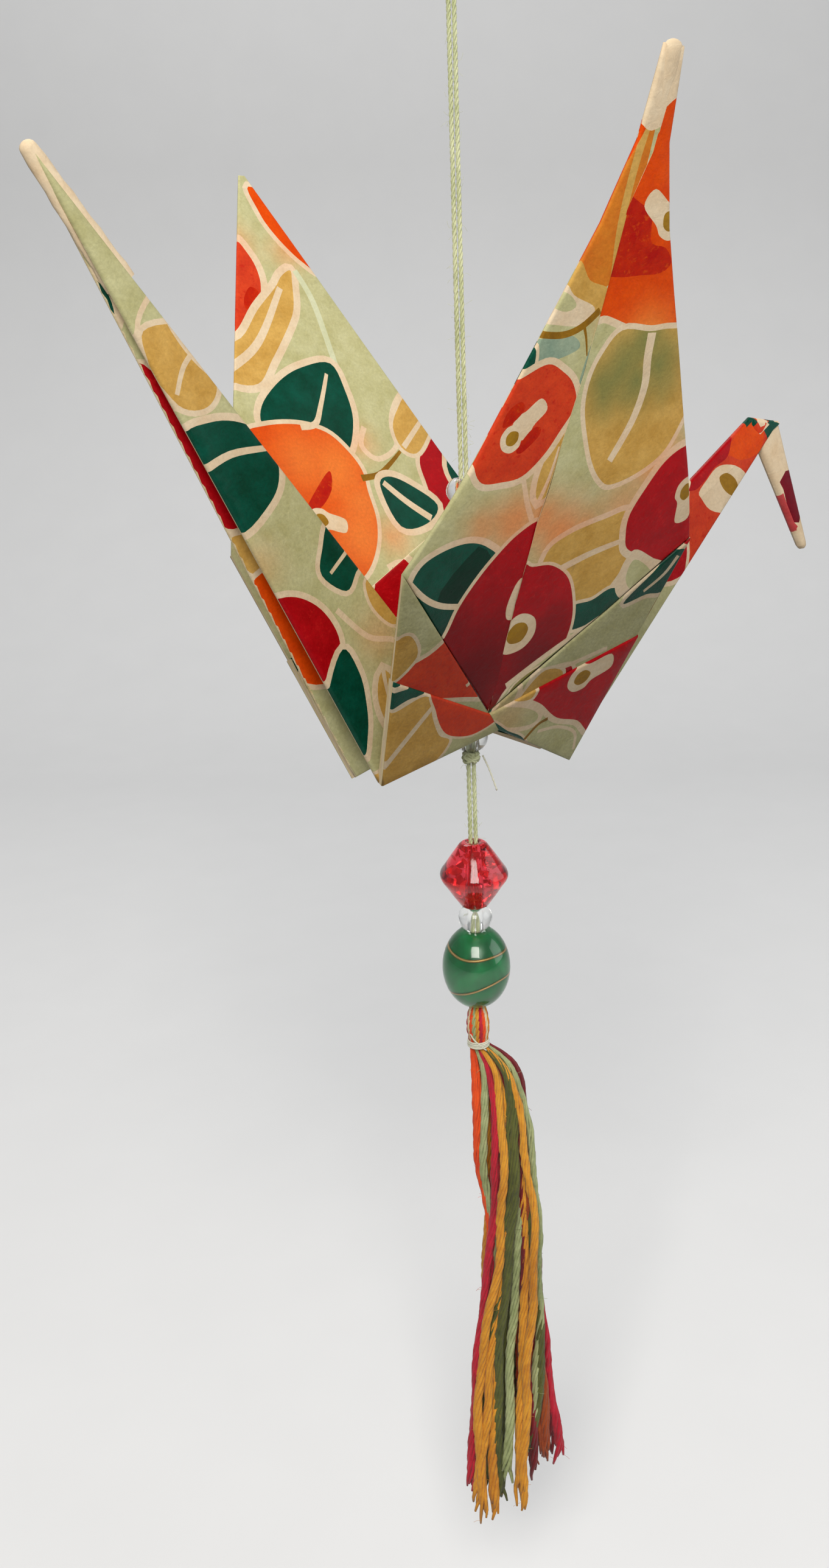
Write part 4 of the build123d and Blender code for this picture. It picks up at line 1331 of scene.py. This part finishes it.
# Colours of the yarns behind them
BACK = (
    "gold", "dark_red", "olive", "crimson", "rust", "gold", "orange", "sage", "dark_red", "olive", "rust",
    "gold", "crimson", "olive", "dark_red", "orange",
)


def yarn_rows():
    """The yarns of YARNS, and behind them those of BACK, spread over the bundle."""
    rows = list(YARNS)
    for k, colour in enumerate(BACK):
        side = -0.9 + 1.8 * (k * 5 % 16) / 15
        back = 0.5 + 0.5 * (k % 3)
        right = [middle + side * half for middle, half in BUNDLE]
        rows.append((colour, back * 0.8, back * 1.6, 55 - 1.1 * (k % 4), right))
    return rows


def yarn_line(near, far, length, right):
    """Middle line of one yarn, from the tie down."""
    tie, end = (right[0] - 2.2) * 0.3, 1.3 * right[-1] - 0.3 * right[-2]
    centre = []
    for across, down in [(tie, 0)] + list(zip(right, YARN_LEVELS)) + [(end, length)]:
        share = down / 56
        spread = 0.7 + 1.2 * share if share else 0.55
        depth = near * (0.6 + 6 * min(share, 0.12)) + (far - near) * share
        centre.append(faced(across * (1 - 0.12 * share), depth * spread, TIE_Z - 0.05 - 1.035 * down))
    return even(curved(centre, 10), 0.8)


def yarn_tubes(line, at):
    """Plies of one yarn, which part at its end, and the fuzz on it."""
    share = at / 56
    width = np.interp(share, (0, 0.03, 0.12, 0.8, 1), (0.38, 0.6, 1.0, 1.16, 1.3)) * rng.uniform(0.9, 1.1)
    phase, sway = rng.uniform(0, 6), rng.uniform(0.08, 0.2)
    u, v = frames(line)
    free = np.clip(share * 4, 0, 1)
    line = (line + u * (sway * np.sin(at * 0.5 + phase) * free)[:, None]
            + v * (sway * np.cos(at * 0.37 + phase) * free)[:, None])
    made = []
    for p in plies(line, at, 6, width * 0.3, rng.uniform(9, 13), phase):
        end = len(p) - rng.randrange(0, 4)
        waves = [0.05 * np.sin(at * rng.uniform(1.0, 2.4) + rng.uniform(0, 6)) for _ in range(3)]
        apart = np.array([rng.uniform(-0.5, 0.5), rng.uniform(-0.5, 0.5), 0])
        loose = np.clip((at - at[-1] + 5) / 5, 0, 1)[:, None] ** 2 * apart
        p = p + np.column_stack(waves) * np.clip(share * 6, 0, 1)[:, None] + loose
        radius = (width * rng.uniform(0.17, 0.22))[:end].copy()
        radius[-2:] *= (0.8, 0.5)
        made.append((p[:end], radius, 0))
    for _ in range(9):
        k = rng.randrange(4, len(line) - 1)
        a, reach = rng.uniform(0, 2 * pi), width[k] * 0.45
        out = u[k] * cos(a) + v[k] * sin(a)
        tip = np.array([rng.uniform(-0.4, 0.4), rng.uniform(-0.4, 0.4), rng.uniform(-0.7, 0.3)])
        root = line[k] + out * reach * 0.8
        fuzz = [root, root + out * 0.35 + tip * 0.4, root + out * rng.uniform(0.4, 0.7) + tip]
        made.append((curved(fuzz, 3), 0.014, 0))
    return made


def build_skirt():
    groups = {}
    for colour, near, far, length, right in yarn_rows():
        groups.setdefault(colour, []).extend(yarn_tubes(*yarn_line(near, far, length, right)))
    for colour, lines in groups.items():
        skirt = tubes("skirt_" + colour, lines, [FLOSS[colour]])
        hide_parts("tassel_" + colour)


def build_loops():
    """The looped yarns above the tie."""
    lines = []
    looks = ("cream", "orange", "sage", "gold", "crimson", "orange", "cream", "gold", "crimson")
    for k, colour in enumerate(looks):
        turn = pi * k / len(looks) + 0.4
        loop = [(-0.74, -0.05), (-1.08, 2.1), (-0.72, 4.3), (0, 4.85),
                (0.72, 4.3), (1.08, 2.1), (0.74, -0.05)]
        points = [faced(x * cos(turn), x * sin(turn), TIE_Z + z - 0.06 * (k % 3)) for x, z in loop]
        line, at = even(curved(points, 8), 0.3)
        lines += [(p, 0.17, FLOSS_NAMES.index(colour)) for p in plies(line, at, 3, 0.16, 3.2, k)]
    loops = tubes("tassel_loops", lines, FLOSS.values())
    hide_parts("tassel_head")


def build_tie():
    """The thread wound round the tassel's neck, with one turn across it."""
    wraps = []
    for k in range(4):
        r = 1.24 - 0.04 * (k % 2)
        turn = np.linspace(0, 2 * pi, 33)
        ring = [faced(r * cos(t), r * sin(t), TIE_Z - 0.27 + 0.18 * k + 0.03 * sin(t + k)) for t in turn]
        wraps.append((ring, 0.095, 0))
    turns = ((0, -0.9), (0.3, -0.45), (0.62, 0.1), (1, 0.75))
    cross = [faced(1.25 * sin(t), -1.25 * cos(t), TIE_Z + 1.4 - 2.1 * s) for s, t in turns]
    wraps.append((curved(cross, 6), 0.09, 0))
    tie = tubes("binding_thread", wraps, [WHITE], 8)
    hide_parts("tassel_tie")


# The beads: bore's radius, and width, height and width of the end of the rounded ones
BORE = 0.66
SEED_BEAD, GREEN_CASING, GREEN_CORE = (4.0, 2.8, 2.22), (8.0, 9.0, 3.4), (6.9, 8.2, 2.6)


def lathe(name, profile, z, material, sides=64, shaped=None):
    """Closed outline of (radius, height) turned about the cord."""
    verts, faces = [], []
    n = len(profile)
    for k in range(sides):
        a = 2 * pi * k / sides
        for r, h in profile:
            p = np.array([r * cos(a), r * sin(a), h])
            verts.append(hung((shaped(p) if shaped else p) + [0, 0, z]))
    for k in range(sides):
        here, following = k * n, (k + 1) % sides * n
        for i in range(n):
            j = (i + 1) % n
            faces.append((here + i, here + j, following + j, following + i))
    made = new_object(name, verts, faces, [material])
    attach(made, "root")
    return made


def swelling(width, height, end, bore=BORE, steps=18):
    """Rounded bead outline with a bore."""
    full = height / 2 / (1 - (end / width) ** 2) ** 0.5
    heights = [height / 2 * cos(pi * k / steps) for k in range(steps + 1)]
    side = [(width / 2 * (1 - (h / full) ** 2) ** 0.5, h) for h in heights]
    top = height / 2
    hole = [(bore + 0.06, -top), (bore, -top + 0.12), (bore, 0), (bore, top - 0.12), (bore + 0.06, top)]
    return side + hole


def glass(name, colour, rough=0.02, ior=1.49, uneven=0.25, scale=600):
    look = Look(name)
    smear = look.noise(look.place(), scale=scale, detail=4.0)
    look.bump(smear, strength=uneven, distance=0.00004)
    look.set({
        "Base Color": colour,
        "Transmission Weight": 1.0,
        "IOR": ior,
        "Roughness": look.mapped(smear, 0.4, 0.75, rough, rough + 0.12),
    })
    return look.material


def build_clear_beads():
    clear = glass("bead_clear", (0.97, 0.985, 0.97, 1))
    places = (
        ("clear_bead_top", "top_bead", TOP_Z),
        ("clear_bead_under", "stopper_bead", STOPPER_Z),
        ("clear_bead_spacer", "spacer_bead", SPACER_Z),
    )
    for name, node, z in places:
        bead = lathe(name, swelling(*SEED_BEAD), z, clear)
        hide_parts(node)


def facets(p):
    """Six slight sides round a turned bead."""
    wide = 1 + 0.012 * cos(6 * atan2(p[1], p[0]))
    return p * np.array([wide, wide, 1])


def build_red_bead():
    ruby = glass("bead_red", (0.86, 0.05, 0.075, 1), 0.04, 1.49, 0.6, 900)
    upper = [(0.72, 3.9), (1.3, 3.88), (1.62, 3.66), (2.6, 2.3), (3.4, 1.1), (3.82, 0.55), (3.97, 0.2)]
    lower = [(r, -h) for r, h in reversed(upper)]
    bore = [(BORE, -3.75), (BORE, 0), (BORE, 3.75)]
    bead = lathe("red_crackle_bead", upper + [(4.0, 0)] + lower + bore, RED_Z, ruby, 72, facets)
    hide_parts("red_bead")


def crackle_plane():
    """One glinting crack inside the red bead, as points of its outline."""
    a, h = rng.uniform(0, 2 * pi), rng.uniform(-3, 3)
    most = 3.6 - abs(h) * 0.62
    r = rng.uniform(1.3, max(1.4, most - 0.5))
    centre = np.array([r * cos(a), r * sin(a), h])
    n = np.array([rng.gauss(0, 1) for _ in range(3)])
    n /= np.linalg.norm(n)
    u = np.cross(n, [0.2, 0.5, 0.8])
    u /= np.linalg.norm(u)
    v = np.cross(n, u)
    size = min(rng.uniform(0.25, 0.75), max(0.2, most - r))
    sides = rng.randrange(5, 8)
    points = []
    for k in range(sides):
        t = 2 * pi * k / sides + rng.uniform(-0.3, 0.3)
        s = size * rng.uniform(0.55, 1.0)
        p = centre + [0, 0, RED_Z] + u * s * cos(t) + v * s * sin(t) + n * 0.06 * cos(2 * t)
        points.append(hung(p))
    return points


def build_crackle():
    verts, faces = [], []
    for _ in range(90):
        points = crackle_plane()
        faces.append(tuple(range(len(verts), len(verts) + len(points))))
        verts.extend(points)
    look = Look("crackle_glint")
    noise = look.noise(look.place(), scale=1500.0, detail=3.0)
    tint = look.ramp(noise, srgb(220, 60, 60), srgb(255, 196, 176))
    look.set({"Base Color": tint, "Metallic": 0.6, "Roughness": 0.22})
    planes = new_object("crackle_planes", verts, faces, [look.material], smooth=False)
    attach(planes, "root")


def build_green_bead():
    casing = glass("bead_casing", (0.93, 0.98, 0.95, 1), 0.02, 1.5, 0.2, 500)
    bead = lathe("green_bead_casing", swelling(*GREEN_CASING), GREEN_Z, casing, 72)
    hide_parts("green_bead")
    look = Look("bead_green_core")
    noise = look.noise(look.place(), scale=260.0, detail=3.0, distortion=1.2)
    tint = look.ramp(noise, srgb(0, 104, 52), srgb(14, 140, 74), at=(0.4, 0.7))
    look.set({"Base Color": tint, "Roughness": 0.3})
    shift = faced(0.22, 0.05, -0.1)
    outline = swelling(*GREEN_CORE, bore=0.75)
    core = lathe("green_bead_core", outline, GREEN_Z, look.material, shaped=lambda p: p + shift)
    build_gold_lines(shift)


def build_gold_lines(shift):
    """Gold lines that run round the green bead's core, moved as it is."""
    look = Look("gold_line")
    noise = look.noise(look.place(), scale=2400.0, detail=3.0)
    rough = look.mapped(noise, 0.0, 1.0, 0.25, 0.6)
    look.set({"Base Color": srgb(214, 172, 110), "Metallic": 0.85, "Roughness": rough})
    lines = []
    for level, wave, phase, thick in ((2.35, 0.25, 0.6, 0.16), (-1.6, 1.1, 2.5, 0.14)):
        ring = []
        for k in range(73):
            a = 2 * pi * k / 72
            h = level + wave * sin(a + phase) + 0.1 * sin(3 * a)
            r = 3.45 * (1 - (h / 4.55) ** 2) ** 0.5 + 0.14
            ring.append(np.array([r * cos(a), r * sin(a), GREEN_Z + h]) + shift)
        lines.append((ring, thick, 0))
    gold = tubes("gold_lines", lines, [look.material], 8, ends=False)


build_cord()
build_thread_end()
build_knot()
build_skirt()
build_loops()
build_tie()
build_clear_beads()
build_red_bead()
build_crackle()
build_green_bead()

# Floor, backdrop and light, in metres
FLOOR_Z = -0.215
CURVE_AT, CURVE_RADIUS = 0.35, 0.25
BACK_AT, BACK_TOP, HALF_WIDTH = 0.6, 0.8, 1.2
AIM = (0, 0, -0.09)


def pale_ground():
    """Pale where it is seen, and a darker grey in the light that it throws back."""
    look = Look("pale_ground")
    noise = look.noise(look.place(), scale=60.0, detail=4.0)
    pale = look.ramp(noise, (0.75, 0.755, 0.76, 1), (0.78, 0.785, 0.79, 1))
    path = look.tree.nodes.new("ShaderNodeLightPath").outputs
    seen = look.math("MAXIMUM", path["Is Camera Ray"], path["Is Transmission Ray"])
    seen = look.math("MAXIMUM", seen, path["Is Glossy Ray"])
    tone = look.mix(seen, (0.22, 0.22, 0.22, 1), pale)
    look.set({"Base Color": tone, "Roughness": 0.9, "Specular IOR Level": 0.1})
    return look.material


def build_stage():
    profile = [(-BACK_AT, FLOOR_Z)]
    for k in range(13):
        a = pi / 2 * k / 12
        profile.append((CURVE_AT + CURVE_RADIUS * sin(a), FLOOR_Z + CURVE_RADIUS * (1 - cos(a))))
    profile.append((BACK_AT, BACK_TOP))
    yaw = radians(37.8)
    verts = []
    for s in (-HALF_WIDTH, HALF_WIDTH):
        verts += [(d * sin(yaw) + s * cos(yaw), d * cos(yaw) - s * sin(yaw), h) for d, h in profile]
    n = len(profile)
    faces = [(k, n + k, n + k + 1, k + 1) for k in range(n - 1)]
    new_object("backdrop", verts, faces, [pale_ground()])


def lamp(name, at, size, power, colour=(1, 1, 1)):
    data = bpy.data.lights.new(name, "AREA")
    data.size = size
    data.energy = power
    data.color = colour
    made = bpy.data.objects.new(name, data)
    made.location = at
    made.rotation_euler = (Vector(AIM) - Vector(at)).to_track_quat("-Z", "Y").to_euler()
    scene.collection.objects.link(made)


def build_world():
    world = bpy.data.worlds.new("studio")
    scene.world = world
    world.use_nodes = True
    colour, strength = world.node_tree.nodes["Background"].inputs[:2]
    colour.default_value = (0.92, 0.94, 0.96, 1)
    strength.default_value = 0.3


build_stage()
lamp("key", (-0.3, -0.34, 0.26), 0.3, 3.3, (1, 0.96, 0.9))
lamp("fill", (0.5, -0.4, 0.1), 0.5, 1.3, (0.96, 0.97, 1))
lamp("top", (0.1, 0.35, 0.5), 0.4, 2.0)
build_world()
scene.view_settings.view_transform = "Standard"
